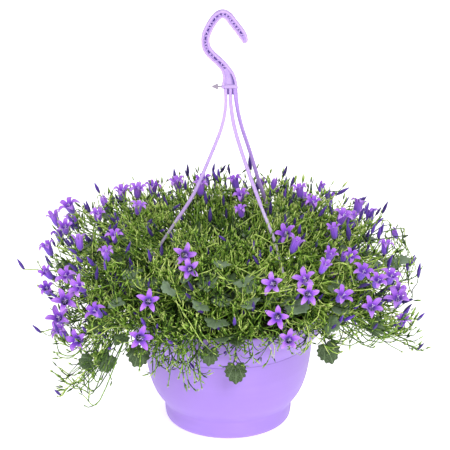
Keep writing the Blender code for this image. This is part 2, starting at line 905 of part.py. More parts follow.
def make_clumps():
    clumps = []
    for n in range(OUTER_CLUMPS):
        azimuth = ARMS[0][0] + 360 / OUTER_CLUMPS * (n + 0.5)
        clumps.append(Clump(f"spray_{n + 1:02d}", azimuth, OUTER_RING, OUTER_MIDDLE, OUTER_CORE))
    for n in range(INNER_CLUMPS):
        azimuth = ARMS[0][0] + 360 / INNER_CLUMPS * (n + 0.5)
        clumps.append(Clump(f"tuft_{n + 1:02d}", azimuth, INNER_RING, INNER_MIDDLE, INNER_CORE))
    return clumps


def plant_layout():
    """Where every stem, bud, bloom and leaf of the plant goes."""
    draw = random.Random(SEED)
    clumps = make_clumps()
    crowd = Crowd(clumps)
    for arm in ARMS:
        crowd.add(along(arm_path(arm, 3), ARM_RADIUS + 0.0006), -1)
    blooms = []
    for across, down, size, facing in SEEN_BLOOMS:
        place_bloom(crowd, clumps, blooms, on_cushion(across, down), size, facing, draw)
    for n in range(BACK_BLOOMS * 2):
        azimuth = 75 + 210 * ((n * 0.618) % 1)
        lift = 0.10 + 0.85 * ((n * 0.7548) % 1)
        point = outward(azimuth) * reach_at(azimuth) * math.sqrt(1 - lift**2) + UP * (WAIST + RISE * lift)
        if len(blooms) < len(SEEN_BLOOMS) + BACK_BLOOMS:
            place_bloom(crowd, clumps, blooms, point, draw.uniform(0.85, 1.05), 0.0, draw)
    for across, down, width, hangs in SEEN_LEAVES:
        place_seen_leaf(crowd, clumps, across, down, width, hangs)
    for across, down in SEEN_BUDS:
        place_seen_bud(crowd, clumps, across, down)
    for owner, clump in enumerate(clumps):
        fill_clump(crowd, clump, owner, draw)
    return clumps, blooms


def place_bloom(crowd, clumps, blooms, point, size, facing, draw):
    """A bloom at a point of the cushion, on its stem, moved along the view until it is clear."""
    for shift in BLOOM_MOVES:
        at = point - TO_VIEW * shift
        wobble = Vector((draw.uniform(-1, 1), draw.uniform(-1, 1), draw.uniform(-0.4, 0.8)))
        growing = UP * UPRIGHT + cushion_normal(at) * OUTWARD
        axis = (growing * (1 - facing) + TO_VIEW * facing + wobble * WOBBLE).normalized()
        base = at - axis * LOBE_TIP[1] * size * (1 + facing) / 2
        clump = nearest_clump(clumps, base)
        owner = clumps.index(clump)
        stem = stem_path(root_in(clump, base), base - axis * CALYX_LENGTH, axis, 3)
        stem.append(base)
        stem_samples = along(stem[:-1], STEM)
        flower = bloom_samples(base, axis, size)
        bloom_id = FIRST_BLOOM_ID + len(blooms)
        near_own = stem_samples[: max(2, len(stem_samples) - 4)]
        if not crowd.free(stem_samples, owner):
            continue
        if not crowd.free(flower, bloom_id, BLOOM_CLEAR):
            continue
        reach = np.sqrt(((near_own[:, None, :3] - flower[None, :, :3]) ** 2).sum(2))
        if reach.min() < OWN_STEM_CLEAR:
            continue
        crowd.add(stem_samples, owner)
        crowd.add(flower, bloom_id)
        blooms.append((clump.name, base, axis, size, draw.uniform(0, 72)))
        clump.stems.append((stem, [STEM * 1.3, STEM * 1.1, STEM, STEM, CALYX]))
        clump.blooms.append(len(blooms) - 1)
        return


def place_seen_leaf(crowd, clumps, across, down, width, hangs):
    """A large leaf at its pixel: over the rim in front of the pot, or on the cushion."""
    if hangs:
        row = [seen_point(across, down, -0.20 + 0.004 * n) for n in range(60)]
        point = min(row, key=lambda p: abs(math.hypot(p.x, p.y) - RIM_RADIUS - HANG_OUT))
    else:
        point = on_cushion(across, down)
    clump = nearest_clump(clumps, point)
    owner = clumps.index(clump)
    level = Vector((point.x, point.y, 0)).normalized()
    for pull in LEAF_MOVES:
        middle = point + level * pull if hangs else point - TO_VIEW * pull
        ahead = (level * 0.45 - UP * 0.9).normalized() if hangs else (level + TO_VIEW * 0.3).normalized()
        face = (TO_VIEW + level * 0.4).normalized()
        face = (face - ahead * face.dot(ahead)).normalized()
        root = middle - ahead * width * 0.5
        start = root_in(clump, root)
        path = hung_path(start, root, ahead) if hangs else stem_path(start, root, ahead, 3)
        if try_leaf(crowd, clump, owner, path, root, ahead, face, width):
            return


def try_leaf(crowd, clump, owner, path, root, ahead, face, width):
    samples = np.vstack([along(path, STEM), leaf_samples(root, ahead, face, width)])
    if not crowd.free(samples, owner):
        return False
    crowd.add(samples, owner)
    clump.stems.append((path, [STEM] * len(path)))
    clump.leaves.append((root, ahead, face, width))
    return True


def place_seen_bud(crowd, clumps, across, down):
    """A bud whose tip is at its pixel, moved along the view until its stem is clear."""
    point = on_cushion(across, down)
    for shift in BUD_MOVES:
        clump = nearest_clump(clumps, point)
        if try_bud(crowd, clump, clumps.index(clump), point - TO_VIEW * shift):
            return


def try_bud(crowd, clump, owner, point):
    """A bud on its stem at a point, if both are clear of the other nodes."""
    level = Vector((point.x, point.y, 0)).normalized()
    axis = (cushion_normal(point) * OUTWARD + UP * UPRIGHT + level * 0.3).normalized()
    tip = point - axis * BUD_LENGTH
    path = stem_path(root_in(clump, tip), tip, axis, 3)
    samples = np.vstack([along(path, STEM), along([tip, point], BUD_RADIUS)])
    if not crowd.free(samples, owner):
        return False
    crowd.add(samples, owner)
    clump.stems.append((path, [STEM] * len(path)))
    clump.buds.append((tip, axis))
    return True


def fill_clump(crowd, clump, owner, draw):
    """Buds and leaves in a clump's own sector, by a seeded draw that keeps what is clear."""
    inner = owner >= OUTER_CLUMPS
    spread = 26 if inner else 13
    buds = 0
    leaves = 0
    for _ in range(SECTOR_TRIES):
        azimuth = clump.azimuth + draw.uniform(-spread, spread)
        lift = draw.uniform(0.55, 0.98) if inner else draw.uniform(-0.35, 0.9)
        out = draw.uniform(0.1, 0.5) if inner else math.sqrt(1 - abs(lift) ** ROUNDNESS)
        height = WAIST + (RISE if lift > 0 else DROP) * lift
        point = outward(azimuth) * reach_at(azimuth) * out + UP * height
        if buds < BUDS_A_CLUMP:
            point = point + (point - clump.middle).normalized() * draw.uniform(0.004, 0.022)
            buds += try_bud(crowd, clump, owner, point)
        elif leaves < (INNER_LEAVES if inner else OUTER_LEAVES):
            width = draw.uniform(*LEAF_WIDTHS)
            inward = clump.middle.lerp(point, draw.uniform(0.6, 0.9))
            ahead = ((inward - clump.middle).normalized() + UP * draw.uniform(-0.3, 0.5)).normalized()
            face = (UP + outward(azimuth) * 0.6).normalized()
            face = (face - ahead * face.dot(ahead)).normalized()
            path = stem_path(root_in(clump, inward), inward, ahead, 3)
            if try_leaf(crowd, clump, owner, path, inward, ahead, face, width):
                leaves += 1


def frame_matrix(at, ahead, face):
    """A frame with +Z along ahead and +X along face."""
    z = ahead.normalized()
    x = (face - z * face.dot(z)).normalized()
    y = z.cross(x)
    return Matrix(((x.x, y.x, z.x, at.x), (x.y, y.y, z.y, at.y), (x.z, y.z, z.z, at.z), (0, 0, 0, 1)))


def double_cone(shape, sides, top, bottom):
    """Two cones base to base: the start of a leaf, a bud or a core."""
    for depth, foot, head, middle in ((top, 1, 0, top / 2), (bottom, 0, 1, -bottom / 2)):
        bmesh.ops.create_cone(
            shape,
            cap_ends=False,
            segments=sides,
            radius1=foot,
            radius2=head,
            depth=depth,
            matrix=Matrix.Translation((0, 0, middle)),
        )
    bmesh.ops.remove_doubles(shape, verts=shape.verts, dist=WELD)


def make_leaf(name, root, ahead, face, width, collection):
    """A round leaf with toothed edges, heart-shaped at its stalk and thickest along its middle."""
    side = ahead.cross(face).normalized()
    heart = root + ahead * width * LEAF_HEART

    def build(shape):
        double_cone(shape, 2 * LEAF_TEETH, 1, 1)
        for vertex in shape.verts:
            height = vertex.co.z
            if abs(height) > 0.5:
                vertex.co = heart + face * math.copysign(LEAF_HALF_THICK, height)
                continue
            turn = math.atan2(vertex.co.y, vertex.co.x)
            tooth = round((turn / math.pi + 1) * LEAF_TEETH) % 2
            out = width * (LEAF_PEAK if tooth else LEAF_DIP)
            if abs(turn) < math.pi / (2 * LEAF_TEETH):
                out = width * LEAF_END
            point = ahead * math.cos(turn) * out + side * math.sin(turn) * out
            fold = face * abs(math.sin(turn)) * width * LEAF_FOLD
            vertex.co = heart + point + fold

    return add_object(name, mesh_from(build, name), collection)


def make_bud(name, root, axis, collection):
    """A slim closed bud, thickest below its middle."""
    place = frame_matrix(root - axis * 0.001, axis, axis.orthogonal())

    def build(shape):
        double_cone(shape, 4, BUD_LENGTH - BUD_BELLY, BUD_BELLY)
        for vertex in shape.verts:
            lifted = vertex.co.z + BUD_BELLY
            vertex.co = place @ Vector((vertex.co.x * BUD_RADIUS, vertex.co.y * BUD_RADIUS, lifted))

    return add_object(name, mesh_from(build, name), collection)


def make_bloom(name, base, axis, size, spin, collection, material):
    """A five-lobed bell: a loft from the five-sided tube to the lobed edge, open in front."""
    place = frame_matrix(base, axis, axis.orthogonal()) @ Matrix.Rotation(math.radians(spin), 4, "Z")

    def at(out, up, turn):
        return place @ Vector((math.cos(turn) * out * size, math.sin(turn) * out * size, up * size))

    def build(shape):
        wedge = 2 * math.pi / LOBES
        foot = [shape.verts.new(at(BELL_BASE, 0, wedge * n)) for n in range(LOBES)]
        ring = [shape.verts.new(at(*BELL_RING, wedge * n)) for n in range(LOBES)]
        throat = shape.verts.new(at(0, BELL_THROAT, 0))
        edge = []
        for n in range(LOBES):
            middle = wedge * (n + 0.5)
            edge.append(shape.verts.new(at(*NOTCH, wedge * n)))
            edge.append(shape.verts.new(at(*SHOULDER, middle - SHOULDER_ANGLE)))
            edge.append(shape.verts.new(at(*LOBE_TIP, middle)))
            edge.append(shape.verts.new(at(*SHOULDER, middle + SHOULDER_ANGLE)))
        shape.faces.new(list(reversed(foot)))
        for n in range(LOBES):
            m = (n + 1) % LOBES
            shape.faces.new((foot[n], foot[m], ring[m], ring[n]))
            row = [edge[(4 * n + k) % (4 * LOBES)] for k in range(5)]
            shape.faces.new((ring[n], row[1], row[0]))
            shape.faces.new((ring[n], row[2], row[1]))
            shape.faces.new((ring[n], ring[m], row[2]))
            shape.faces.new((ring[m], row[3], row[2]))
            shape.faces.new((ring[m], row[4], row[3]))
            for k in range(4):
                shape.faces.new((throat, row[k], row[k + 1]))

    item = add_object(name, mesh_from(build, name), collection, material)
    round_off(item, 60)
    return item


def make_core(name, clump, draw, collection):
    """The clump's low core, drawn out in leafy points, on the neck that stands in the soil."""
    turn = turn_to(clump.azimuth)
    place = Matrix.Translation(clump.middle) @ turn

    def build(shape):
        bmesh.ops.create_icosphere(shape, subdivisions=1, radius=1)
        for n, vertex in enumerate(shape.verts):
            scale = draw.uniform(*CORE_POINTS) if n % 2 else draw.uniform(*CORE_DIPS)
            point = Vector([c * s * scale for c, s in zip(vertex.co, clump.core)])
            vertex.co = place @ point

    add_object(name, mesh_from(build, name), collection)
    low = SOIL_TOP - NECK_DEPTH
    high = clump.middle.z - clump.core.z * 0.3

    def neck(shape):
        middle = Matrix.Translation((clump.at.x, clump.at.y, (low + high) / 2))
        bmesh.ops.create_cone(
            shape,
            cap_ends=True,
            segments=6,
            radius1=NECK_RADIUS,
            radius2=NECK_RADIUS,
            depth=high - low,
            matrix=middle,
        )

    add_object(name + "_neck", mesh_from(neck, name), collection)


def make_clump(clump, blooms, own_blooms, parts, material, draw):
    """All that grows from a clump, joined in one body."""
    pieces = new_collection(clump.name + "_pieces")
    make_core("core", clump, draw, pieces)
    for path, radii in clump.stems:
        tube("stem", path, radii, 3, pieces)
    for root, axis in clump.buds:
        make_bud("bud", root, axis, pieces)
    for root, ahead, face, width in clump.leaves:
        make_leaf("leaf", root, ahead, face, width, pieces)
    for n in clump.blooms:
        if n not in own_blooms:
            _, base, axis, size, spin = blooms[n]
            make_bloom("bell", base - axis * 0.0008, axis, size, spin, pieces, None)
    return joined(clump.name, pieces, parts, material)


def main():
    clear_scene()
    parts = new_collection("campanula_hanging_basket")
    cutters = new_collection("cutters")
    lilac = plain_material("lilac_plastic", (0.53, 0.33, 0.95), 0.32)
    pale = plain_material("pale_plastic", (0.80, 0.78, 0.80), 0.4)
    earth = plain_material("potting_soil", (0.035, 0.022, 0.014), 0.95)
    green = plain_material("campanula_green", (0.13, 0.26, 0.05), 0.6)
    violet = plain_material("campanula_violet", (0.36, 0.12, 0.80), 0.5)
    clumps, blooms = plant_layout()
    make_pot(parts, cutters, lilac)
    make_hanger(parts, lilac)
    barb_shape("tag_barb", parts, 0, pale)
    make_soil(parts, clumps, earth)
    own_blooms = set(range(min(BLOOM_NODES, len(blooms))))
    draw = random.Random(SEED + 1)
    for clump in clumps:
        make_clump(clump, blooms, own_blooms, parts, green, draw)
    for n in sorted(own_blooms):
        _, base, axis, size, spin = blooms[n]
        make_bloom(f"bloom_{n + 1:02d}", base + axis * GAP, axis, size, spin, parts, violet)


main()
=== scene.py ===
"""The looks of a campanula in a hanging pot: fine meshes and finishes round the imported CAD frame.

Metres, +Z up, front towards -Y, as in the CAD. The plant's layout rule is the one that the CAD uses,
so each fine bloom, leaf, bud and stem stands where its solid is.
"""

import functools
import math
import random

import bmesh
import bpy
import numpy as np
from mathutils import Matrix, Vector, noise


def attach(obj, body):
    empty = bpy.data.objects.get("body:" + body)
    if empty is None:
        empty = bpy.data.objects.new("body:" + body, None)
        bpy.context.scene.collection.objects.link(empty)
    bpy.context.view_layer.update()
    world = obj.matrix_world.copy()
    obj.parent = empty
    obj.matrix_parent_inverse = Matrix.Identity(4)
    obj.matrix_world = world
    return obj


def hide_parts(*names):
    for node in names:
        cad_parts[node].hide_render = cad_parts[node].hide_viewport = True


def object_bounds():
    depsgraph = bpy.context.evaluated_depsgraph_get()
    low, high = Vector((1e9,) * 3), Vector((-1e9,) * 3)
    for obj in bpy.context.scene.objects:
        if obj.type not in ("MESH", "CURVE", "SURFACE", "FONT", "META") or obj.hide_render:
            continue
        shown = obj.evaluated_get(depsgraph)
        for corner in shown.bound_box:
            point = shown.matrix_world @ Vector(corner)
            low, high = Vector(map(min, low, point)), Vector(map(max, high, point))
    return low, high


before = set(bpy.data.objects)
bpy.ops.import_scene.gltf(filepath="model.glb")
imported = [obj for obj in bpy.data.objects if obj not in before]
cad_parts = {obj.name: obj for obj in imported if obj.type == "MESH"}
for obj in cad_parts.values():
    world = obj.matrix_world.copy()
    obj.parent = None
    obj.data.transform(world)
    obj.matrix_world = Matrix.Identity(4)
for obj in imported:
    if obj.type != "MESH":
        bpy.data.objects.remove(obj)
CAD_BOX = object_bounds()

UP = Vector((0, 0, 1))
AXES = [Vector((1, 0, 0)), Vector((0, 1, 0)), UP]
GAP = 0.0003

# Pot: the outer side from the rim down to the foot, as (radius, height).
RIM_TOP = 0.1555
RIM_RADIUS = 0.125
POT_WALL = 0.0022
POT_FLOOR = 0.0025
POT_OUTER = [
    (RIM_RADIUS, 0.1548), (0.1212, 0.1420), (0.1180, 0.1325), (0.1130, 0.1225), (0.1065, 0.1135),
    (0.1016, 0.1082), (0.1004, 0.1030), (0.0982, 0.0820), (0.0942, 0.0600), (0.0885, 0.0430), (0.0820, 0.0325),
    (0.0768, 0.0260), (0.0752, 0.0215), (0.0752, 0.0120), (0.0728, 0.0045), (0.0680, 0.0006), (0.0650, 0.0),
]
POT_INNER_HEIGHTS = [0.1420, 0.1225, 0.1082, 0.0820, 0.0430, 0.0215]
FLOOR_ROUND = 0.0040
FLOOR_FLAT = 0.0660
DRAIN_HOLES = 6
DRAIN_RING = 0.045
DRAIN_RADIUS = 0.004

# Fine pot: extra lines of the moulding as (height, depth, width, painted shade in the groove), how often its
# waist is eased, how finely it is turned, its lip as (inside the rim, below the top) and where the inner side
# starts, and the rows of its floor.
POT_LINES = [(0.1310, 0.00030, 0.0016, 0.0), (0.1074, 0.00060, 0.0007, 0.45), (0.0232, 0.00100, 0.0050, 0.0)]
WAIST_PASSES = 9
FINE_STEPS = 112
FINE_ROWS = 88
LIP = ((POT_WALL - 0.0002, 0.0005), (0.0017, 0), (0.0006, 0))
AXIS_HOLE = 0.0004
LIP_FOOT = 0.1530
INNER_ROWS = 50
FLOOR_RING = 0.03
WAIST_SPAN = (0.008, 0.048)

# Soil: the crowned top, how finely it is turned, how far its crumbs lie below the crown, their layers as
# (draw, scale, depth), the hole that each clump stands in, and how deep the fine stems start.
SOIL_TOP = 0.1420
SOIL_EDGE = 0.1385
SOIL_STEPS = 132
SOIL_SINK = 0.0012
CRUMBS = ((0, 260, 0.0009), (5, 90, 0.0013))
NECK_RADIUS = 0.0075
ROOT_DEPTH = 0.004

# Hook: its centre line in the plane Y = 0 from its tip to its foot, as (across, height, half its width).
HOOK_LINE = [
    (0.0200, 0.4898, 0.0036), (0.0182, 0.4945, 0.0046), (0.0130, 0.5032, 0.0050), (0.0060, 0.5128, 0.0050),
    (0.0010, 0.5200, 0.0050), (-0.0050, 0.5240, 0.0050), (-0.0112, 0.5223, 0.0050), (-0.0170, 0.5155, 0.0050),
    (-0.0222, 0.5062, 0.0050), (-0.0258, 0.4972, 0.0050), (-0.0268, 0.4890, 0.0050), (-0.0257, 0.4812, 0.0050),
    (-0.0222, 0.4743, 0.0050), (-0.0160, 0.4674, 0.0050), (-0.0092, 0.4606, 0.0050), (-0.0036, 0.4535, 0.0053),
    (0.0002, 0.4454, 0.0068), (0.0018, 0.4376, 0.0082), (0.0019, 0.4281, 0.0098),
]
HOOK_DEPTH = 0.0060

# Hook's nose past the tip, as shares of its length and of the section, and the band's cross-section: rims, web,
# slots and ribs. The slots are painted dark as their shadow; the last three are the painted shade of the
# recessed web, of the band's outer edges and of the dark sheet that stands for the shadow in the gaps between
# the arms.
HOOK_NOSE = 0.0034
NOSE = ((1.0, 0.04), (0.9, 0.45), (0.65, 0.78), (0.35, 0.95))
RIM_WIDTH = 0.0029
CROWN = 0.0012
WEB_HALF = 0.0012
FOOT_LENGTH = 0.0215
FOOT_WEB = 0.0023
RIB_LEVEL = 0.0014
RIB_REACH = 0.0019
RIB_SLANT = 0.0014
RIB_RADII = (0.0009, 0.0006, 0.0009)
NOSE_EASE = 0.0045
FOOT_EASE = 0.008
LEDGE_CLEAR = 0.0035
DASH_START = 0.0060
DASH_LENGTHS = (0.0016, 0.0058)
DASH_GAPS = (0.0012, 0.0024)
WEB_PAINTED_SHADE = 0.22
EDGE_PAINTED_SHADE = 0.28
SLIT_PAINTED_SHADOW = 0.8

# Hub: the block under the hook's foot, which the arms leave side by side, its rows as (share, height), a thin
# dark sheet between the arms, painted shadow of the gaps between them, as (share, share of the thickness,
# height), and the ledge across the foot.
HUB_AT = Vector((0.0026, 0, 0.4293))
HUB_SIZE = Vector((0.0156, 0.0066, 0.0080))
HUB_ROWS = ((0.02, 0.5), (0.97, 0.5), (1.0, 0.44), (1.0, 0.10), (0.97, 0.02), (0.93, -0.04), (0.02, -0.04))
SLIT_SHADOW_ROWS = ((0.02, 1, 0.4300), (1.0, 1, 0.4300), (1.0, 1, 0.4225), (0.9, 1, 0.4190), (0.02, 1, 0.4190))
SLIT_SHADOW_HALF = (0.0062, 0.0006)
SLIT_SHADOW_DEPTH = 0.0010
LEDGE_ENDS = (-0.0066, 0.0098)
LEDGE_AT = (0.0028, 0.4322)
LEDGE_RADII = (0.0005, 0.0009, 0.0010, 0.0010, 0.0010, 0.0009, 0.0005)

# Barb in the foot's left side: (out from the side, rise) of its root, neck and tip, and its head's outline.
BARB_AT = Vector((-0.0076, 0, 0.4299))
BARB = ((-0.0020, 0.0000), (0.0042, -0.0001), (0.0118, -0.0003))
BARB_HEAD = (
    (0.0, 0.0010), (0.02, 0.0031), (0.06, 0.0037), (0.14, 0.0035), (0.50, 0.0023), (0.85, 0.0010),
    (1.0, 0.0003),
)
BARB_RADIUS = 0.0009
BARB_FLAT = 0.55

# Arms: each one's direction, its place across the hub, its bow to +X and its sway, which adds to the bow in
# the lower half and takes from it in the upper half. ARM_LINE is their height and distance from the middle.
# ARM_SHAPES: the height of each one's step, its top's share of the width, its upper finish and its collar;
# upper finish 2 is the hanger plastic painted darker, as shade on the back arm. Then shares of the width and
# thickness, where the top's share sets in, and the toe with its rows as (share, size).
ARMS = [(-84.5, -0.0033, 0.0065, -0.0013), (35.5, 0.0028, 0.0107, 0.0062), (155.5, 0.0083, 0.0124, 0.0027)]
ARM_LINE = [
    (0.4290, 0.0000), (0.4050, 0.0023), (0.3750, 0.0107), (0.3330, 0.0287), (0.2900, 0.0468), (0.2500, 0.0703),
    (0.2050, 0.0958), (0.1700, 0.1093), (0.1475, 0.1165),
]
ARM_SHAPES = [(0.2600, 1.06, 0, 0.004), (0.2900, 0.84, 0, 0), (0.2300, 1.16, 2, 0)]
ARM_RADIUS = 0.0019
BELOW_STEP = (0.94, 0.84)
ABOVE_STEP = (1.10, 1.02)
COLLAR = (1.22, 1.05)
COLLAR_HALF = 0.0035
TOP_FROM = 0.400
TOP_SPAN = 0.020
TOE_AT = 0.1475
TOE_REACH = 0.1262
TOE_WIDE = 0.0052
TOE_HIGH = 0.0026
TOE_INSIDE = 0.006
TOE_ROWS = ((0, 0.75), (0.04, 1), (0.3, 1), (0.7, 1), (0.96, 1), (1, 0.75))

# Plant: how far it reaches in front, at the sides and behind, and the shape of its cushion.
REACH_FRONT = 0.152
REACH_SIDE = 0.218
REACH_BACK = 0.207
WAIST = 0.178
RISE = 0.086
DROP = 0.078
ROUNDNESS = 2.6
NORMAL_STEP = 0.002

# The photograph's view, for the blooms and leaves that are placed by their pixel in it.
VIEW_TILT = math.radians(24.5)
TO_VIEW = Vector((0, -math.cos(VIEW_TILT), math.sin(VIEW_TILT)))
PIXEL = 0.00119
AXIS_PX = 228.0
BASE_PX = 415.6
DEPTH_STEP = 0.004

# Blooms seen in the photograph: pixel across, pixel down, size, and how much it faces the view.
SEEN_BLOOMS = [
    (272.7, 281, 1.0, 0.9), (305, 279, 1.0, 0.85), (278, 317, 1.0, 0.9), (183.5, 253, 1.0, 0.9),
    (189.5, 266.5, 0.95, 0.85), (141, 337, 1.05, 0.75), (147.5, 299, 0.95, 0.6), (239.7, 195, 0.85, 0.5),
    (242, 212, 0.8, 0.1), (69.4, 207, 1.0, 0.35), (65, 300, 1.05, 0.7), (108, 255, 0.95, 0.1),
    (98, 312, 1.0, 0.25), (293, 246, 1.05, 0.15), (287, 234, 0.95, 0.3), (341, 218, 1.05, 0.1),
    (353, 221, 0.95, 0.05), (334, 232, 0.9, 0.1), (386, 249, 0.9, 0.0), (301, 192, 0.9, 0.05),
    (314, 205, 0.95, 0.1), (122, 194, 0.95, 0.1), (136, 192, 0.95, 0.1), (138, 208, 0.85, 0.2),
    (199.6, 189, 0.95, 0.1), (236, 184, 0.9, 0.0), (56, 220, 0.95, 0.1), (80, 243, 0.95, 0.2),
    (49, 249, 0.95, 0.1), (69, 277, 1.05, 0.2), (58, 319, 1.05, 0.2), (78, 339, 1.05, 0.75),
    (287, 340, 0.95, 0.3), (339.7, 297, 1.0, 0.3), (328, 256, 0.95, 0.3), (360, 274, 1.05, 0.15),
    (391, 279, 1.0, 0.2), (399, 300, 1.05, 0.35), (371, 307, 1.0, 0.4), (401, 324, 0.9, 0.1),
    (47, 289, 0.9, 0.1), (348, 256, 0.9, 0.2), (82, 287, 1.05, 0.2), (98, 216, 0.9, 0.1), (306, 294, 0.95, 0.9),
    (377, 281, 1.0, 0.25), (114, 237, 0.85, 0.1), (66, 228, 0.95, 0.2), (321.5, 268, 0.9, 0.1),
    (62, 332, 1.0, 0.3), (305, 202, 0.9, 0.1),
]

# Blooms at the back, over which degrees from the front, and how many of all blooms have a node of their own.
BACK_BLOOMS = 14
BACK_FROM = 75
BACK_SPAN = 210
BLOOM_NODES = 38

# Large leaves seen in the photograph: pixel across, pixel down, width, and 1 where one hangs over the rim.
SEEN_LEAVES = [
    (235.7, 371.4, 0.024, 1), (209.5, 355, 0.021, 1), (324.5, 350.5, 0.026, 1), (110, 362, 0.026, 1),
    (142, 353, 0.027, 1), (331, 324, 0.022, 0), (374.8, 326, 0.022, 0), (332, 308, 0.020, 0),
    (216.5, 321, 0.028, 0), (237, 339, 0.024, 0), (222, 263, 0.020, 0), (243, 280, 0.024, 0),
    (169, 288, 0.021, 0), (200.6, 305, 0.022, 0), (250, 302, 0.022, 0), (88, 362, 0.022, 0),
]

# Buds that stand furthest out in the photograph: pixel across, pixel down of the tip.
SEEN_BUDS = [
    (12, 259), (26, 327), (45, 234), (83, 200), (150, 181), (259, 171), (287, 187), (372, 229), (394, 263),
    (417, 306), (431, 314), (50, 392), (207, 246), (128, 258), (261, 249), (430, 345),
]

# Clumps as (name, count, ring, middle, core): outer ones in twelve sectors between the arms, inner ones in
# six. Each gets a bud and a leaf of its own by a seeded draw.
OUTER_CLUMPS = 12
CLUMPS = [
    ("spray", OUTER_CLUMPS, 0.086, 0.178, Vector((0.0255, 0.0185, 0.034))),
    ("tuft", 6, 0.034, 0.186, Vector((0.018, 0.0145, 0.040))),
]
INNER_REACH = 0.075
BUDS_A_CLUMP = 1
LEAVES_A_CLUMP = 1
LEAF_WIDTHS = (0.017, 0.024)
SECTOR_TRIES = 60
SEED = 21

# Room kept between pieces of different nodes, and around the pot.
SAMPLE_STEP = 0.003
CLEAR = 0.0024
BLOOM_CLEAR = 0.0016
CORE_CLEAR = 0.001
RIM_CLEAR = 0.002
SOIL_CLEAR = 0.003
INSIDE_CLEAR = 0.012
OWN_STEM_CLEAR = 0.0035

# Moves along the view that are tried until a piece is clear.
BLOOM_MOVES = (0, 0.012, -0.012, 0.024, -0.024, 0.036, 0.048)
BUD_MOVES = (0, 0.010, -0.010, 0.020, -0.020, 0.030, 0.045, -0.045)
LEAF_MOVES = (0.0, 0.006, 0.012, 0.020)

# Blooms and buds: how much they grow upright, away from the cushion and askew.
UPRIGHT = 0.75
OUTWARD = 0.55
WOBBLE = 0.30

# Stems: how they leave the core, bend and reach over the rim.
ROOT_LEAN = 0.005
ROOT_STEP = 0.0034
ROOT_STEPS = 7
STEM_STEPS = 3
STEM_LEAN = 0.25
STEM_RISE = 0.42
STEM_APPROACH = 0.28
OVER_RIM = Vector((RIM_RADIUS + 0.008, 0, RIM_TOP + 0.014))
HANG_OUT = 0.012

# Bloom, bud and leaf, at size 1.
BELL_RING = (0.0050, 0.0080)
SHOULDER = (0.0106, 0.0171)
LOBE_TIP = (0.0158, 0.0168)
LOBES = 5
RIM_SHARE = 0.9
BLADE = 0.0014
BUD_LENGTH = 0.019
BUD_RADIUS = 0.0025
STEM = 0.0010
CALYX_LENGTH = 0.0033
FIRST_BLOOM_ID = 1000
LEAF_HEART = 0.42

# Fine bloom: radii and heights along a lobe's middle from the tube's foot to the lobe's tip, by kind, and the
# style's line, with its arms and the anthers as (out, up).
STATIONS = (0.0, 0.06, 0.22, 0.38, 0.50, 0.62, 0.76, 0.90, 1.0)
PROFILES = {
    "star": (
        (0.0020, 0.0036, 0.0044, 0.0049, 0.0057, 0.0080, 0.0110, 0.0140, 0.0160),
        (0.0, 0.0018, 0.0062, 0.0102, 0.0131, 0.0158, 0.0172, 0.0174, 0.0164),
    ),
    "bell": (
        (0.0020, 0.0036, 0.0045, 0.0048, 0.0053, 0.0068, 0.0096, 0.0124, 0.0140),
        (0.0, 0.0018, 0.0068, 0.0112, 0.0148, 0.0176, 0.0191, 0.0186, 0.0168),
    ),
    "shut": (
        (0.0020, 0.0036, 0.0044, 0.0046, 0.0047, 0.0048, 0.0042, 0.0028, 0.0010),
        (0.0, 0.0018, 0.0066, 0.0108, 0.0142, 0.0172, 0.0202, 0.0230, 0.0248),
    ),
}
NOTCH_AT = 0.50
PETAL_THICK = 0.00030
STYLE = np.array([[0, 0, 0.001], [0.0002, 0, 0.006], [0.0005, 0.0001, 0.0115], [0.0009, 0.0003, 0.0160]])
STYLE_ARM = ((0, 0), (0.0011, 0.0010), (0.0022, 0.0006))
ANTHER = ((0.0016, 0.0015), (0.0026, 0.0062), (0.0014, 0.0100))

# Fine leaf, bud, cup and leaflet: the leaf's rings and thickness at width 1, how much larger it is than its
# solid, and the bud's and the bloom's cup's rows as (height, radius).
LEAF_RINGS = (0.02, 0.50, 0.85, 1.0)
LEAF_THICK = 0.022
LEAF_GROW = 1.08
BUD_RINGS = [
    (0, 0.0010), (0.0020, 0.0017), (0.0050, 0.0023), (0.0085, 0.0024), (0.0120, 0.0019), (0.0155, 0.0012),
    (0.0185, 0.0005),
]
CUP_RINGS = [(0, 0.0007), (0.0010, 0.0016), (0.0024, 0.0024), (0.0036, 0.0023)]
LEAFLET_LENGTHS = (0.006, 0.014)

# Threads: the fine stems between the placed ones and the leaves among them for each clump, the stems that trail
# beside a placed one, how many degrees a clump's threads spread to each side, and the tries for each.
OUTER_THREADS = 52
INNER_THREADS = 48
THREAD_RADIUS = 0.00064
BRANCH_RADIUS = 0.00056
THREAD_STEPS = 10
OUTER_FILL_LEAVES = 13
INNER_FILL_LEAVES = 11
COMPANY = 9
OUTER_SPREAD = 17
INNER_SPREAD = 34
THREAD_TRIES = 4
TWIG_LENGTHS = (0.012, 0.036)
FILL_WIDTHS = (0.018, 0.030)

# Which threads droop or arch, below which height they hang over the rim, and how many degrees to each side a
# clump counts as one in front.
DROOP_SHARE = 0.26
FRONT_DROOP_SHARE = 0.40
ARCH_SHARE = 0.55
OVER_BELOW = RIM_TOP + 0.012
FRONT_HALF = 62

# Bundles that hang over the rim: azimuth, spread, count, nearest, farthest, lowest, highest, and dip.
HANGINGS = [
    (-38, 10, 16, 0.134, 0.162, 0.112, 0.160, 0.0), (-22, 10, 20, 0.134, 0.158, 0.100, 0.160, 0.0),
    (8, 16, 6, 0.134, 0.150, 0.138, 0.160, 0.0), (40, 12, 6, 0.134, 0.150, 0.135, 0.160, 0.0),
    (-66, 9, 22, 0.165, 0.218, 0.072, 0.130, 0.008), (72, 9, 24, 0.190, 0.238, 0.132, 0.166, 0.013),
]

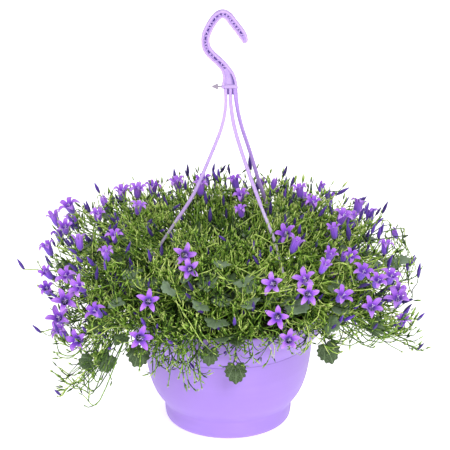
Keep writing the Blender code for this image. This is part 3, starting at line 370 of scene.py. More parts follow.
# What fine stems end in and carry, as shares, how far blooms tilt and buds lift, and the sizes drawn from.
BUD_SHARE = 0.035
RIM_BUD_SHARE = 0.11
HALF_OPEN_SHARE = 0.12
TIP_SHARE = 0.52
TWIG_LEAFLET_SHARE = 0.35
STAR_FACING = 0.80
BLOOM_TILT = 0.20
BUD_LIFT = 0.5
HALF_OPEN_SIZES = (0.62, 0.85)
CALYX_SIZES = (0.9, 1.15)
BUD_SIZES = (0.62, 0.98)
TIP_SIZES = (0.55, 0.95)

# Room that the fine stems keep: in the box and cushion, at the pot's wall, along the arms, which the photograph
# shows above a height, and round each bloom.
BOX_EASE = 0.010
CUSHION_EASE = 1.14
WALL_ROOM = 0.0015
ARM_ROOM = 0.0034
ARM_SEEN = (0.212, 0.250, 0.290)
VIEW_STEPS = (0.007, 0.014, 0.021, 0.028, 0.035, 0.042, 0.049, 0.056)
BLOOM_ROOM = 0.0125
BLOOM_MIDDLE = 0.019
BLOOM_FRONT = 0.013

# Camera: far off with a long lens, as flat as the photograph.
FRAME_PX = 450
CAMERA_AWAY = 20.0
SENSOR = 36.0

# Studio light: the world's shade by its height, the floor, and the lamps as (name, place, size, power).
WORLD_SHADES = [(0.0, (0.95, 0.95, 0.95, 1)), (0.24, (0.90, 0.90, 0.90, 1)), (0.44, (0.34, 0.34, 0.34, 1))]
FLOOR_SHADES = [(0.0, (0.92, 0.92, 0.92, 1)), (1.0, (0.94, 0.94, 0.94, 1))]
FLOOR_BASE = (0.93, 0.93, 0.93, 1)
FLOOR_HALF = 30.0
FLOOR_GLOW = 0.58
LAMPS = [
    ("key", (0.45, -1.9, 1.5), 0.9, 28.0),
    ("fill", (-1.6, -1.3, 1.2), 1.3, 8.0),
    ("back", (0.3, 1.6, 2.0), 1.1, 26.0),
]

# Finishes of a plant piece, in the order of its material slots. Colours are screen values, or linear with four.
STEM_FINISH, TIP_FINISH, LEAF_FINISH, BUD_FINISH, OUTSIDE_FINISH, INSIDE_FINISH, STYLE_FINISH = range(7)
LEAF_SHADES = [(0.0, (50, 70, 34)), (0.35, (70, 94, 54)), (0.70, (112, 134, 106)), (1.0, (146, 164, 142))]
SOIL_SHADES = [(0.2, (24, 17, 12)), (0.45, (56, 42, 31)), (0.7, (88, 68, 50)), (0.92, (150, 130, 106))]

# Plain plant finishes: name, base, shader settings, grain's scale, what the colour runs by, the grain's share,
# colours, gloss, depth of the relief, and whether that has ridges.
PLANT_FINISHES = [
    # stem_green: colour by random tone and along each stem; the greens between are the stems' own, the
    # near-black low stop is painted shade deep among the stems near their roots, and the pale top stop is
    # painted highlight.
    (
        "stem_green", (96, 132, 52), {"Roughness": 0.5, "Specular_IOR_Level": 0.35}, 260,
        {"tone": 0.52, "along": 0.45}, 0.5,
        [(0.16, (9, 18, 4)), (0.42, (62, 100, 26)), (0.60, (142, 184, 60)), (0.88, (226, 242, 142))],
        (0.42, 0.62), 0.0002, False,
    ),
    (
        "tip_green", (140, 168, 84), {"Roughness": 0.5, "Specular_IOR_Level": 0.35}, 420,
        {"along": 0.7, "tone": 0.35}, 0.0,
        [(0.0, (70, 110, 34)), (0.40, (122, 160, 58)), (0.72, (178, 202, 98)), (1.0, (226, 232, 164))],
        (0.42, 0.62), 0.0002, False,
    ),
    (
        "bud_violet", (72, 42, 140), {"Roughness": 0.45, "Specular_IOR_Level": 0.4}, 300,
        {"tone": 0.6, "across": 0.12, "along": 0.2}, 0.0,
        [(0.0, (44, 26, 86)), (0.35, (66, 38, 130)), (0.7, (98, 60, 178)), (1.0, (142, 98, 214))],
        (0.38, 0.58), 0.0003, True,
    ),
    (
        "style_pale", (222, 208, 236), {"Roughness": 0.5}, 600,
        {"along": 1.0}, 0.3,
        [(0.0, (150, 110, 210)), (0.5, (208, 190, 232)), (1.0, (240, 234, 232))],
        (0.45, 0.65), 0.0, False,
    ),
]

# Petal finishes: name, the veins' shade, and colours from throat to tip.
PETALS = [
    (
        "petal_outside", (96, 52, 186),
        [(0.0, (122, 90, 206)), (0.30, (132, 84, 218)), (0.60, (164, 104, 234)), (1.0, (196, 140, 246))],
    ),
    (
        "petal_inside", (124, 66, 210),
        [
            (0.05, (150, 100, 226)), (0.34, (156, 96, 228)), (0.50, (176, 106, 236)), (0.68, (188, 122, 240)),
            (1.0, (202, 150, 246)),
        ],
    ),
]

# Plastics: name, roughness, share of pale speckles, and dark, middle and light shade.
PLASTICS = [
    ("lilac_plastic", 0.42, 0.0, (160, 128, 214), (165, 133, 219), (172, 140, 225)),
    ("hanger_plastic", 0.38, 0.0, (184, 154, 219), (193, 164, 226), (204, 177, 231)),
    ("hanger_rough", 0.5, 0.6, (182, 160, 210), (192, 172, 218), (204, 186, 226)),
    # The hanger plastic once more, darker: painted shade on the back arm's upper part.
    ("hanger_painted_shade", 0.38, 0.0, (168, 135, 216), (178, 145, 222), (188, 157, 228)),
    ("pale_plastic", 0.45, 0.0, (138, 126, 146), (150, 138, 158), (164, 152, 172)),
]


def smooth_path(points, steps):
    """Points along a Catmull-Rom curve, with so many steps for each stretch."""
    row = [2 * points[0] - points[1], *points, 2 * points[-1] - points[-2]]
    path = []
    for n in range(len(points) - 1):
        a, b, c, d = row[n : n + 4]
        for step in range(steps):
            t = step / steps
            straight = 2 * b + (c - a) * t
            bend = (2 * a - 5 * b + 4 * c - d) * t**2
            twist = (3 * b - a - 3 * c + d) * t**3
            path.append(0.5 * (straight + bend + twist))
    path.append(points[-1].copy())
    return path


def pot_outer(height):
    """The outer wall's radius at a height, or at each of several."""
    radii, heights = np.array(POT_OUTER[::-1]).T
    return np.interp(height, heights, radii)


def pot_inner(height):
    return float(pot_outer(height)) - POT_WALL


def outward(azimuth):
    """The level direction at an angle from the front, positive to the right."""
    turn = math.radians(azimuth)
    return Vector((math.sin(turn), -math.cos(turn), 0))


def azimuth_of(x, y):
    return math.degrees(math.atan2(x, -y))


def turn_to(azimuth):
    """Turns +X to point outwards at that angle."""
    return Matrix.Rotation(math.radians(azimuth - 90), 4, "Z")


def arm_path(arm, steps):
    """An arm's centre line."""
    azimuth, place, bow, sway = arm
    points = []
    for height, radius in ARM_LINE:
        rise = min(max((height - RIM_TOP) / (HUB_AT.z - RIM_TOP), 0), 1)
        across = place * rise + bow * math.sin(math.pi * rise) + sway * math.sin(2 * math.pi * rise)
        points.append(outward(azimuth) * radius + Vector((across, 0, height)))
    return smooth_path(points, steps)


def along(path, radius):
    """Samples (x, y, z, radius) along a path."""
    samples = []
    for a, b in zip(path, path[1:]):
        count = max(1, math.ceil((b - a).length / SAMPLE_STEP))
        samples.extend((*a.lerp(b, n / count), radius) for n in range(count))
    samples.append((*path[-1], radius))
    return np.array(samples)


def reach_at(azimuth):
    """How far the cushion reaches at an angle from the front."""
    back = (1 - math.cos(math.radians(azimuth))) / 2
    front, side, behind = REACH_FRONT, REACH_SIDE, REACH_BACK
    return front + (4 * side - 3 * front - behind) * back + (2 * front + 2 * behind - 4 * side) * back**2


def fullness(x, y, z):
    """Below 1 inside the plant's cushion, 1 on its surface."""
    out = math.hypot(x, y) / reach_at(azimuth_of(x, y))
    lift = abs(z - WAIST) / (RISE if z > WAIST else DROP)
    return out**ROUNDNESS + lift**ROUNDNESS


def cushion_normal(point):
    rise = [fullness(*(point + axis * NORMAL_STEP)) - fullness(*(point - axis * NORMAL_STEP)) for axis in AXES]
    return Vector(rise).normalized()


def seen_point(across, down, depth):
    """The point at that depth (along Y) which the photograph shows at a pixel."""
    lift = (BASE_PX - down) * PIXEL
    height = (lift - depth * math.sin(VIEW_TILT)) / math.cos(VIEW_TILT)
    return Vector(((across - AXIS_PX) * PIXEL, depth, height))


def on_cushion(across, down):
    """The nearest point of the cushion at a pixel, or the one that comes closest to it."""
    row = [seen_point(across, down, -0.25 + DEPTH_STEP * n) for n in range(125)]
    for point in row:
        if fullness(*point) < 1:
            return point
    return min(row, key=lambda p: fullness(*p))


def stem_path(start, tip, axis):
    """A stem that leaves its clump upwards and comes to its tip along the tip's axis."""
    span = (tip - start).length
    out = Vector((tip.x - start.x, tip.y - start.y, 0))
    lean = out.normalized() * STEM_LEAN if out.length > STEM else Vector()
    handle_a = start + (UP + lean) * span * STEM_RISE
    handle_b = tip - axis * span * STEM_APPROACH
    path = []
    for n in range(STEM_STEPS + 1):
        t = n / STEM_STEPS
        s = 1 - t
        path.append(s**3 * start + 3 * s * s * t * handle_a + 3 * s * t * t * handle_b + t**3 * tip)
    return path


def hung_path(start, tip):
    """A stem that goes up and over the rim and hangs down to its tip."""
    level = Vector((tip.x, tip.y, 0)).normalized()
    over = level * OVER_RIM.x + UP * OVER_RIM.z
    rise = start.lerp(over, 0.5) + UP * 0.012
    return [start, rise, over, over.lerp(tip, 0.45) + level * 0.003, tip]


def bloom_samples(base, axis, size):
    side = axis.orthogonal().normalized()
    other = axis.cross(side)
    samples = [(*(base + axis * 0.004 * size), 0.003 * size)]
    for out, up in (BELL_RING, SHOULDER, LOBE_TIP):
        for n in range(10):
            turn = 2 * math.pi * n / 10
            level = side * math.cos(turn) + other * math.sin(turn)
            samples.append((*(base + (axis * up + level * out * RIM_SHARE) * size), BLADE))
    return np.array(samples)


def leaf_samples(base, ahead, face, width):
    side = ahead.cross(face).normalized()
    ways = [(n, m) for n in range(7) for m in range(-3, 4)]
    return np.array([(*(base + ahead * width * n / 6 + side * width * m / 6), 0.0010) for n, m in ways])


def square_face(face, ahead):
    """A face direction made square to the way ahead."""
    return (face - ahead * face.dot(ahead)).normalized()


class Clump:
    """A clump of the plant: its place, its core and the pieces that grow from it."""

    def __init__(self, owner, name, azimuth, ring, middle, core):
        self.owner = owner
        self.name = name
        self.azimuth = azimuth
        self.inner = owner >= OUTER_CLUMPS
        self.at = outward(azimuth) * ring
        self.middle = self.at + UP * middle
        self.core = core
        self.stems = []
        self.buds = []
        self.blooms = []
        self.leaves = []

    def holds(self, point, margin):
        """Whether a point lies in the core, grown by a margin."""
        local = turn_to(self.azimuth).inverted() @ (point - self.middle)
        return sum((c / (axis + margin)) ** 2 for c, axis in zip(local, self.core)) < 1

    def root_for(self, tip):
        """Where the next stem starts, deep in the core and a little towards the stem's tip."""
        step = (3 * len(self.stems)) % ROOT_STEPS - ROOT_STEPS // 2
        return self.middle + (tip - self.middle).normalized() * ROOT_LEAN + UP * ROOT_STEP * step


class Layout:
    """Where every stem, bud, bloom and leaf goes. Samples of what is placed keep other nodes clear of it."""

    def __init__(self):
        self.draw = random.Random(SEED)
        self.samples = np.zeros((0, 4))
        self.owners = np.zeros(0, int)
        self.clumps = []
        self.blooms = []
        for kind, count, ring, middle, core in CLUMPS:
            for n in range(count):
                azimuth = ARMS[0][0] + 360 / count * (n + 0.5)
                self.clumps.append(Clump(len(self.clumps), f"{kind}_{n + 1:02d}", azimuth, ring, middle, core))
        for arm in ARMS:
            self.add(along(arm_path(arm, 3), ARM_RADIUS + 0.0006), -1)
        for across, down, size, facing in SEEN_BLOOMS:
            self.place_bloom(on_cushion(across, down), size, facing)
        for n in range(BACK_BLOOMS * 2):
            azimuth = BACK_FROM + BACK_SPAN * ((n * 0.618) % 1)
            lift = 0.10 + 0.85 * ((n * 0.7548) % 1)
            point = outward(azimuth) * reach_at(azimuth) * math.sqrt(1 - lift**2) + UP * (WAIST + RISE * lift)
            if len(self.blooms) < len(SEEN_BLOOMS) + BACK_BLOOMS:
                self.place_bloom(point, self.draw.uniform(0.85, 1.05), 0.0)
        for row in SEEN_LEAVES:
            self.place_leaf(*row)
        for across, down in SEEN_BUDS:
            self.place_bud(on_cushion(across, down))
        for clump in self.clumps:
            self.fill(clump)

    def add(self, samples, owner):
        self.samples = np.vstack([self.samples, samples])
        self.owners = np.append(self.owners, [owner] * len(samples))

    def free(self, samples, owner, margin=CLEAR):
        """Whether samples (x, y, z, radius) are clear of the pot, other cores and other owners."""
        for x, y, z, radius in samples:
            out = math.hypot(x, y)
            if z < RIM_TOP + RIM_CLEAR + radius and out < RIM_RADIUS + RIM_CLEAR + radius:
                if z < SOIL_TOP + SOIL_CLEAR + radius or out > RIM_RADIUS - INSIDE_CLEAR - radius:
                    return False
            for clump in self.clumps:
                if clump.owner != owner and clump.holds(Vector((x, y, z)), radius + CORE_CLEAR):
                    return False
        others = self.samples[self.owners != owner]
        if not len(others):
            return True
        step = samples[:, None, :3] - others[None, :, :3]
        away = np.sqrt((step**2).sum(2)) - samples[:, None, 3] - others[None, :, 3]
        return bool(away.min() > margin)

    def nearest(self, point):
        """The clump in whose sector a point lies."""
        azimuth = azimuth_of(point.x, point.y)
        inner = math.hypot(point.x, point.y) < INNER_REACH
        chosen = self.clumps[OUTER_CLUMPS:] if inner else self.clumps[:OUTER_CLUMPS]
        return min(chosen, key=lambda clump: abs((clump.azimuth - azimuth + 180) % 360 - 180))

    def place_bloom(self, point, size, facing):
        """A bloom at a point of the cushion, on its stem, moved along the view until it is clear."""
        uniform = self.draw.uniform
        for shift in BLOOM_MOVES:
            at = point - TO_VIEW * shift
            wobble = Vector((uniform(-1, 1), uniform(-1, 1), uniform(-0.4, 0.8)))
            growing = UP * UPRIGHT + cushion_normal(at) * OUTWARD
            axis = (growing * (1 - facing) + TO_VIEW * facing + wobble * WOBBLE).normalized()
            base = at - axis * LOBE_TIP[1] * size * (1 + facing) / 2
            clump = self.nearest(base)
            stem = stem_path(clump.root_for(base), base - axis * CALYX_LENGTH, axis)
            stem_samples = along(stem, STEM)
            flower = bloom_samples(base, axis, size)
            bloom_id = FIRST_BLOOM_ID + len(self.blooms)
            if not self.free(stem_samples, clump.owner) or not self.free(flower, bloom_id, BLOOM_CLEAR):
                continue
            near_own = stem_samples[: max(2, len(stem_samples) - 4)]
            reach = np.sqrt(((near_own[:, None, :3] - flower[None, :, :3]) ** 2).sum(2))
            if reach.min() < OWN_STEM_CLEAR:
                continue
            self.add(stem_samples, clump.owner)
            self.add(flower, bloom_id)
            clump.blooms.append(len(self.blooms))
            self.blooms.append((base, axis, size, uniform(0, 72)))
            clump.stems.append([*stem, base])
            return

    def place_leaf(self, across, down, width, hangs):
        """A large leaf at its pixel: over the rim in front of the pot, or on the cushion."""
        point = on_cushion(across, down)
        if hangs:
            row = [seen_point(across, down, -0.20 + DEPTH_STEP * n) for n in range(60)]
            point = min(row, key=lambda p: abs(math.hypot(p.x, p.y) - RIM_RADIUS - HANG_OUT))
        clump = self.nearest(point)
        level = Vector((point.x, point.y, 0)).normalized()
        for pull in LEAF_MOVES:
            middle = point + level * pull if hangs else point - TO_VIEW * pull
            ahead = (level * 0.45 - UP * 0.9).normalized() if hangs else (level + TO_VIEW * 0.3).normalized()
            face = square_face((TO_VIEW + level * 0.4).normalized(), ahead)
            root = middle - ahead * width * 0.5
            start = clump.root_for(root)
            path = hung_path(start, root) if hangs else stem_path(start, root, ahead)
            if self.try_leaf(clump, path, root, ahead, face, width):
                return

    def try_on(self, clump, path, samples):
        """Adds a stem with what it carries, if both are clear of the other nodes."""
        samples = np.vstack([along(path, STEM), samples])
        if not self.free(samples, clump.owner):
            return False
        self.add(samples, clump.owner)
        clump.stems.append(path)
        return True

    def try_leaf(self, clump, path, root, ahead, face, width):
        placed = self.try_on(clump, path, leaf_samples(root, ahead, face, width))
        if placed:
            clump.leaves.append((root, ahead, face, width))
        return placed

    def place_bud(self, point):
        """A bud at a point of the cushion, moved along the view until its stem is clear."""
        clump = self.nearest(point)
        for shift in BUD_MOVES:
            if self.try_bud(clump, point - TO_VIEW * shift):
                return

    def try_bud(self, clump, point):
        level = Vector((point.x, point.y, 0)).normalized()
        axis = (cushion_normal(point) * OUTWARD + UP * UPRIGHT + level * 0.3).normalized()
        tip = point - axis * BUD_LENGTH
        path = stem_path(clump.root_for(tip), tip, axis)
        placed = self.try_on(clump, path, along([tip, point], BUD_RADIUS))
        if placed:
            clump.buds.append((tip, axis))
        return placed

    def fill(self, clump):
        """A bud and a leaf in a clump's own sector, by a seeded draw that keeps what is clear."""
        uniform = self.draw.uniform
        spread = 26 if clump.inner else 13
        buds = leaves = 0
        for _ in range(SECTOR_TRIES):
            azimuth = clump.azimuth + uniform(-spread, spread)
            lift = uniform(0.55, 0.98) if clump.inner else uniform(-0.35, 0.9)
            out = uniform(0.1, 0.5) if clump.inner else math.sqrt(1 - abs(lift) ** ROUNDNESS)
            height = WAIST + (RISE if lift > 0 else DROP) * lift
            point = outward(azimuth) * reach_at(azimuth) * out + UP * height
            if buds < BUDS_A_CLUMP:
                point = point + (point - clump.middle).normalized() * uniform(0.004, 0.022)
                buds += self.try_bud(clump, point)
            elif leaves < LEAVES_A_CLUMP:
                width = uniform(*LEAF_WIDTHS)
                inward = clump.middle.lerp(point, uniform(0.6, 0.9))
                ahead = ((inward - clump.middle).normalized() + UP * uniform(-0.3, 0.5)).normalized()
                face = square_face((UP + outward(azimuth) * 0.6).normalized(), ahead)
                path = stem_path(clump.root_for(inward), inward, ahead)
                leaves += self.try_leaf(clump, path, inward, ahead, face, width)


class Growth:
    """Collects the triangles of one piece, each with its finish, and the values that the finishes read."""

    def __init__(self):
        self.points = []
        self.faces = []
        self.finishes = []
        self.values = []
        self.count = 0

    def add(self, points, faces, finish=0, tone=0.5, along=0.5, across=0.0):
        """Adds a shape. tone is one draw for all of it, and along runs from its root to its tip."""
        size = len(points)
        self.points.append(points)
        self.faces.append(faces + self.count)
        self.finishes.append(np.broadcast_to(finish, len(faces)))
        self.values.append(np.column_stack([np.broadcast_to(value, size) for value in (tone, along, across)]))
        self.count += size

    def tube(self, path, radii, sides, finish=0, tone=0.5):
        rows = np.repeat(np.linspace(0, 1, len(path)), sides)
        self.add(tube_points(path, radii, sides), tube_faces(len(path), sides), finish, tone, rows)

    def packed(self):
        """The unit shape that place takes: points, faces, finishes and values, each in one array."""
        return [np.concatenate(rows) for rows in (self.points, self.faces, self.finishes, self.values)]

    def place(self, shape, at, axes, scale, tone):
        """Adds a unit shape, turned by the columns of axes."""
        points, faces, finishes, values = shape
        points = np.asarray(at) + (points * scale) @ axes.T
        self.add(points, faces, finishes, tone, values[:, 1], values[:, 2])

    def piece(self, name, finishes):
        points, faces, indices, values = self.packed()
        mesh = bpy.data.meshes.new(name)
        mesh.vertices.add(len(points))
        mesh.vertices.foreach_set("co", points.ravel())
        mesh.loops.add(faces.size)
        mesh.loops.foreach_set("vertex_index", faces.ravel())
        mesh.polygons.add(len(faces))
        mesh.polygons.foreach_set("loop_start", np.arange(0, faces.size, 3))
        mesh.polygons.foreach_set("material_index", indices)
        mesh.polygons.foreach_set("use_smooth", np.ones(len(faces), bool))
        mesh.update(calc_edges=True)
        for column, key in enumerate(("tone", "along", "across")):
            layer = mesh.attributes.new(key, "FLOAT", "POINT")
            layer.data.foreach_set("value", values[:, column].astype(np.float32))
        for finish in finishes:
            mesh.materials.append(finish)
        return link(name, mesh)


def link(name, data):
    item = bpy.data.objects.new(name, data)
    bpy.context.scene.collection.objects.link(item)
    return item


@functools.lru_cache(maxsize=None)
def tube_faces(rings, sides):
    """Triangles of a tube with closed ends."""
    faces = []
    for n in range(rings - 1):
        for m in range(sides):
            a = n * sides + m
            b = n * sides + (m + 1) % sides
            faces.extend([(a, b, b + sides), (a, b + sides, a + sides)])
    last = (rings - 1) * sides
    for m in range(1, sides - 1):
        faces.extend([(0, m + 1, m), (last, last + m, last + m + 1)])
    return np.array(faces)


def unit(vector):
    return vector / (np.linalg.norm(vector, axis=-1, keepdims=True) + 1e-12)


def turns_of(steps):
    """Even angles once round."""
    return np.arange(steps) * 2 * np.pi / steps


def way(turn):
    """The level direction at an angle from +X."""
    return np.array([math.cos(turn), math.sin(turn), 0])


def lifted(height):
    """A step straight up."""
    return np.array([0, 0, height])


def tube_points(path, radii, sides):
    ahead = unit(np.gradient(path, axis=0))
    axis = np.eye(3)[np.argmin(np.abs(path[-1] - path[0]))]
    side = unit(np.cross(ahead, axis))
    other = np.cross(ahead, side)
    turn = turns_of(sides)
    ring = side[:, None] * np.cos(turn)[None, :, None] + other[:, None] * np.sin(turn)[None, :, None]
    return (path[:, None] + ring * np.asarray(radii)[:, None, None]).reshape(-1, 3)


def frame_of(axis, face):
    """Columns (side, face, axis) of a frame whose third axis is given."""
    z = unit(np.asarray(axis, float))
    x = unit(np.cross(np.asarray(face, float), z))
    return np.column_stack([x, np.cross(z, x), z])


def bezier(a, b, c, d, steps):
    t = np.linspace(0, 1, steps + 1)[:, None]
    s = 1 - t
    return s**3 * a + 3 * s * s * t * b + 3 * s * t * t * c + t**3 * d


def thick_grid(points, thickness, finishes):
    """A closed sheet from a grid (rows, columns, 3): an outer side, an inner side and its edges."""
    rows, columns, _ = points.shape
    down = np.gradient(points, axis=0)
    right = np.gradient(points, axis=1)
    inner = points - unit(np.cross(right, down)) * thickness
    size = rows * columns
    corners = [n * columns + m for n in range(rows - 1) for m in range(columns - 1)]
    halves = [((a, a + 1, a + columns + 1), (a, a + columns + 1, a + columns)) for a in corners]
    front = np.array([face for pair in halves for face in pair])
    ring = list(range(columns))
    ring += [n * columns + columns - 1 for n in range(1, rows)]
    ring += [(rows - 1) * columns + n for n in range(columns - 2, -1, -1)]
    ring += [n * columns for n in range(rows - 2, 0, -1)]
    edge = []
    for a, b in zip(ring, ring[1:] + ring[:1]):
        edge.extend([(b, a, a + size), (b, a + size, b + size)])
    faces = np.vstack([front, front[:, ::-1] + size, np.array(edge)])
    sides = np.repeat([finishes[0], finishes[1]], [len(front), len(front) + len(edge)])
    return np.vstack([points.reshape(-1, 3), inner.reshape(-1, 3)]), faces, sides


def bloom_shape(kind, flare, draw):
    """A bell at size 1 with five pointed lobes. flare is 1 for lobes rolled right back, 0 for a closed bell."""
    shut = np.array(PROFILES["shut"])
    section = shut + (np.array(PROFILES[kind]) - shut) * flare
    rows = np.concatenate([np.linspace(0, NOTCH_AT, 6), np.linspace(0.56, 1.0, 8)])
    across = np.linspace(-1, 1, 7)
    radius, height = (np.interp(rows, STATIONS, line) for line in section)
    free = np.clip((rows - NOTCH_AT) / (1 - NOTCH_AT), 0, 1)
    half = math.pi / LOBES
    width = (1 - 0.06 * np.minimum(free * 4, 1) + 0.12 * np.sin(np.pi * free)) * (1 - free**2.9) ** 0.85
    width = width * (1 - 0.30 * (1 - flare) * free)
    growth = Growth()
    for lobe in range(LOBES):
        reach = draw.uniform(0.86, 1.06)
        roll = draw.uniform(-0.0030, 0.0026) - 0.0006 * flare
        twist = draw.uniform(-0.28, 0.28)
        curl = draw.uniform(0.0003, 0.0012)
        grid = np.zeros((len(rows), len(across), 3))
        for n, row in enumerate(rows):
            hold = float(np.interp(min(row, NOTCH_AT), STATIONS, section[0]))
            keel = 0.00042 * (1 - np.abs(across)) ** 2 * min(1, row * 3)
            sag = (1 - np.cos(across * half)) * (hold * (1 - 0.85 * free[n]))
            forward = radius[n] * (1 + (reach - 1) * free[n]) - sag + keel * (1 - free[n])
            side = np.sin(across * half) * hold * width[n] + twist * free[n] ** 2 * 0.006
            lift = height[n] + roll * free[n] ** 2 - keel * free[n] * 1.4
            lift = lift + curl * np.abs(across) ** 2 * np.sin(np.pi * min(free[n] * 1.2, 1)) * flare
            grid[n] = np.column_stack([forward, side, lift])
        points, faces, sides = thick_grid(grid, PETAL_THICK, (OUTSIDE_FINISH, INSIDE_FINISH))
        x, y, _ = way(2 * half * lobe)
        spin = np.array([[x, -y, 0], [y, x, 0], [0, 0, 1]])
        from_throat = np.tile(np.repeat(rows, len(across)), 2)
        growth.add(points @ spin.T, faces, sides, 0, from_throat, np.tile(across, 2 * len(rows)))
    growth.tube(STYLE, [0.0008, 0.0005, 0.0005, 0.0007], 4, STYLE_FINISH)
    for n in range(3):
        bend = way(2 * math.pi * n / 3 + 0.5)
        arm = np.array([STYLE[-1] + bend * out + lifted(up) for out, up in STYLE_ARM])
        growth.tube(arm, [0.0005, 0.0005, 0.0003], 4, STYLE_FINISH)
    for n in range(5):
        bend = way(2 * math.pi * (n + 0.5) / 5)
        anther = np.array([bend * out + lifted(up) for out, up in ANTHER])
        growth.tube(anther, [0.0003, 0.00045, 0.0003], 4, STYLE_FINISH)
    return growth.packed()


def leaf_shape(draw, steps, teeth):
    """A rounded leaf of width 1: toothed, heart-shaped at its stalk, cupped and wavy. Its tip is towards +Z."""
    turn = np.linspace(-np.pi, np.pi, steps + 1)
    place = turn / (2 * np.pi) * teeth + 0.5 + 0.12 * np.sin(2 * turn + draw.uniform(0, 6))
    tooth = 1 - np.abs((place % 1) - 0.42) / 0.58
    big = 0.5 + 0.5 * np.cos(turn * 5)
    outline = 0.47 + 0.065 * np.cos(turn) - 0.24 * np.exp(-(((np.pi - np.abs(turn)) / 0.30) ** 2))
    outline = outline * (1 + 0.05 * np.sin(3 * turn + draw.uniform(0, 6)) + 0.07 * big)
    phase = draw.uniform(0, 6)
    grid = np.zeros((len(LEAF_RINGS), len(turn), 3))
    for n, ring in enumerate(LEAF_RINGS):
        out = outline * ring * (1 + 0.26 * (tooth - 0.55) * ring**5)
        side = np.sin(turn) * out
        rise = 0.45 * side**2 + 0.05 * np.sin(3.5 * turn + phase) * ring**2 - 0.10 * ring**2
        crease = -0.030 * np.exp(-((np.abs(side) / 0.05) ** 2)) * ring
        folds = -0.014 * np.cos(turn * 5 + np.pi) * ring
        grid[n] = np.column_stack([side, rise + crease + folds, np.cos(turn) * out])
    points, faces, sides = thick_grid(grid, LEAF_THICK, (LEAF_FINISH, LEAF_FINISH))
    growth = Growth()
    along, across = grid[:, :, 2].ravel() + LEAF_HEART, grid[:, :, 0].ravel()
    growth.add(points, faces, sides, 0, np.tile(along, 2), np.tile(across, 2))
    return growth.packed()


def spindle_shape(rings, sides, finish, length=1.0, ridge=0.0):
    """A turned spindle along +Z from (height, radius) rows, with five soft ridges."""
    turn = turns_of(sides)
    points = []
    for height, radius in rings:
        out = radius * (1 + ridge * np.cos(5 * turn + height * 3))
        points.append(np.column_stack([np.cos(turn) * out, np.sin(turn) * out, np.full(sides, height)]))
    along = np.repeat([height for height, _ in rings], sides) / length
    growth = Growth()
    across = np.tile(np.cos(5 * turn), len(rings))
    growth.add(np.vstack(points), tube_faces(len(rings), sides), finish, 0, along, across)
    return growth.packed()


def calyx_shape(steps, length, spread, width, finish):
    """Five narrow pointed sepals round +Z."""
    growth = Growth()
    t = np.linspace(0, 1, steps + 1)
    radii = width * (1 - t) ** 0.7 * (0.75 + 0.6 * t) * 0.5 + 0.00004
    rise = length * t * (1 - 0.25 * spread / length * t)
    for n in range(5):
        out = way(2 * math.pi * (n + 0.5) / 5)
        line = out * (width * 0.9 + spread * t**1.5)[:, None] + lifted(1) * rise[:, None]
        growth.tube(line, radii, 3, finish)
    return growth.packed()


def leaflet_shape():
    """A narrow leaf of length 1 towards +Z: its outline, and a middle point on each side."""
    half = [(0.5, 0.05, 0.35), (0.36, 0.08, 0.68)]
    outline = [(0, 0, 0), *((-x, y, z) for x, y, z in half), (0, 0.10, 1), *half[::-1]]
    points = np.array([*outline, (0, -0.06, 0.45), (0, 0.04, 0.45)]) * [0.20, 1, 1]
    edges = [(n, (n + 1) % 6) for n in range(6)]
    faces = np.array([(a, b, 6) for a, b in edges] + [(b, a, 7) for a, b in edges])
    growth = Growth()
    growth.add(points, faces, STEM_FINISH, 0, points[:, 2], np.array([0, -1, -1, 0, 1, 1, 0, 0]))
    return growth.packed()


class Shapes:
    """The unit shapes that the plant is built from."""

    def __init__(self, draw):
        self.stars = [bloom_shape("star", 1.0, draw) for _ in range(5)]
        self.bells = [bloom_shape("bell", flare, draw) for flare in (0.72, 0.86, 0.98, 1.08)]
        self.half_open = [bloom_shape("bell", flare, draw) for flare in (0.05, 0.25, 0.45)]
        self.leaves = [leaf_shape(draw, 46, 13) for _ in range(4)]
        self.far_leaves = [leaf_shape(draw, 24, 9) for _ in range(4)]
        self.bud = spindle_shape(BUD_RINGS, 8, BUD_FINISH, 0.0185, 0.12)
        self.tip = spindle_shape([(0, 0.0006), (0.0018, 0.0012), (0.0050, 0.0003)], 4, TIP_FINISH, 0.0050)
        self.cup = spindle_shape(CUP_RINGS, 8, STEM_FINISH)
        self.calyx = calyx_shape(4, 0.0066, 0.0034, 0.0011, STEM_FINISH)
        self.hugging = calyx_shape(2, 0.0062, 0.0012, 0.0010, STEM_FINISH)
        self.star = calyx_shape(1, 0.0044, 0.0018, 0.0008, TIP_FINISH)
        self.leaflet = leaflet_shape()


def smooth(points, steps):
    return np.array([list(point) for point in smooth_path([Vector(point) for point in points], steps)])


def soil_height(x, y):
    out = math.hypot(x, y) / pot_inner(SOIL_EDGE)
    return SOIL_TOP + (SOIL_EDGE - SOIL_TOP) * out


def kept_clear(blooms):
    """Points with a reach, which the fine stems keep out of: along the arms and in the middle of each bloom."""
    rows = []
    for arm, low in zip(ARMS, ARM_SEEN):
        for point in arm_path(arm, 8):
            rows.append((*point, ARM_ROOM))
            if point.z > low:
                rows.extend((*(point + TO_VIEW * step), ARM_ROOM) for step in VIEW_STEPS)
    for base, axis, size, _ in blooms:
        middle = base + axis * BLOOM_MIDDLE * size
        rows.append((*middle, BLOOM_ROOM * size))
        rows.append((*(middle + TO_VIEW * BLOOM_FRONT), BLOOM_ROOM * size * 0.8))
    return np.array(rows)


def in_cushion(path):
    """Whether a path stays in the cushion that the plant fills."""
    return all(fullness(*point) <= CUSHION_EASE for point in path)


def in_box(path):
    """Whether a path stays in the CAD box, with a little ease."""
    low, high = CAD_BOX
    return (path > np.array(low) - BOX_EASE).all() and (path < np.array(high) + BOX_EASE).all()


def cushion_point(azimuth, lift, share):
    """A point at a share of the cushion's reach."""
    out = max(0.0, 1 - abs(lift) ** ROUNDNESS) ** (1 / ROUNDNESS)
    height = WAIST + (RISE if lift > 0 else DROP) * lift * share
    return np.array(outward(azimuth) * reach_at(azimuth) * out * share + UP * height)


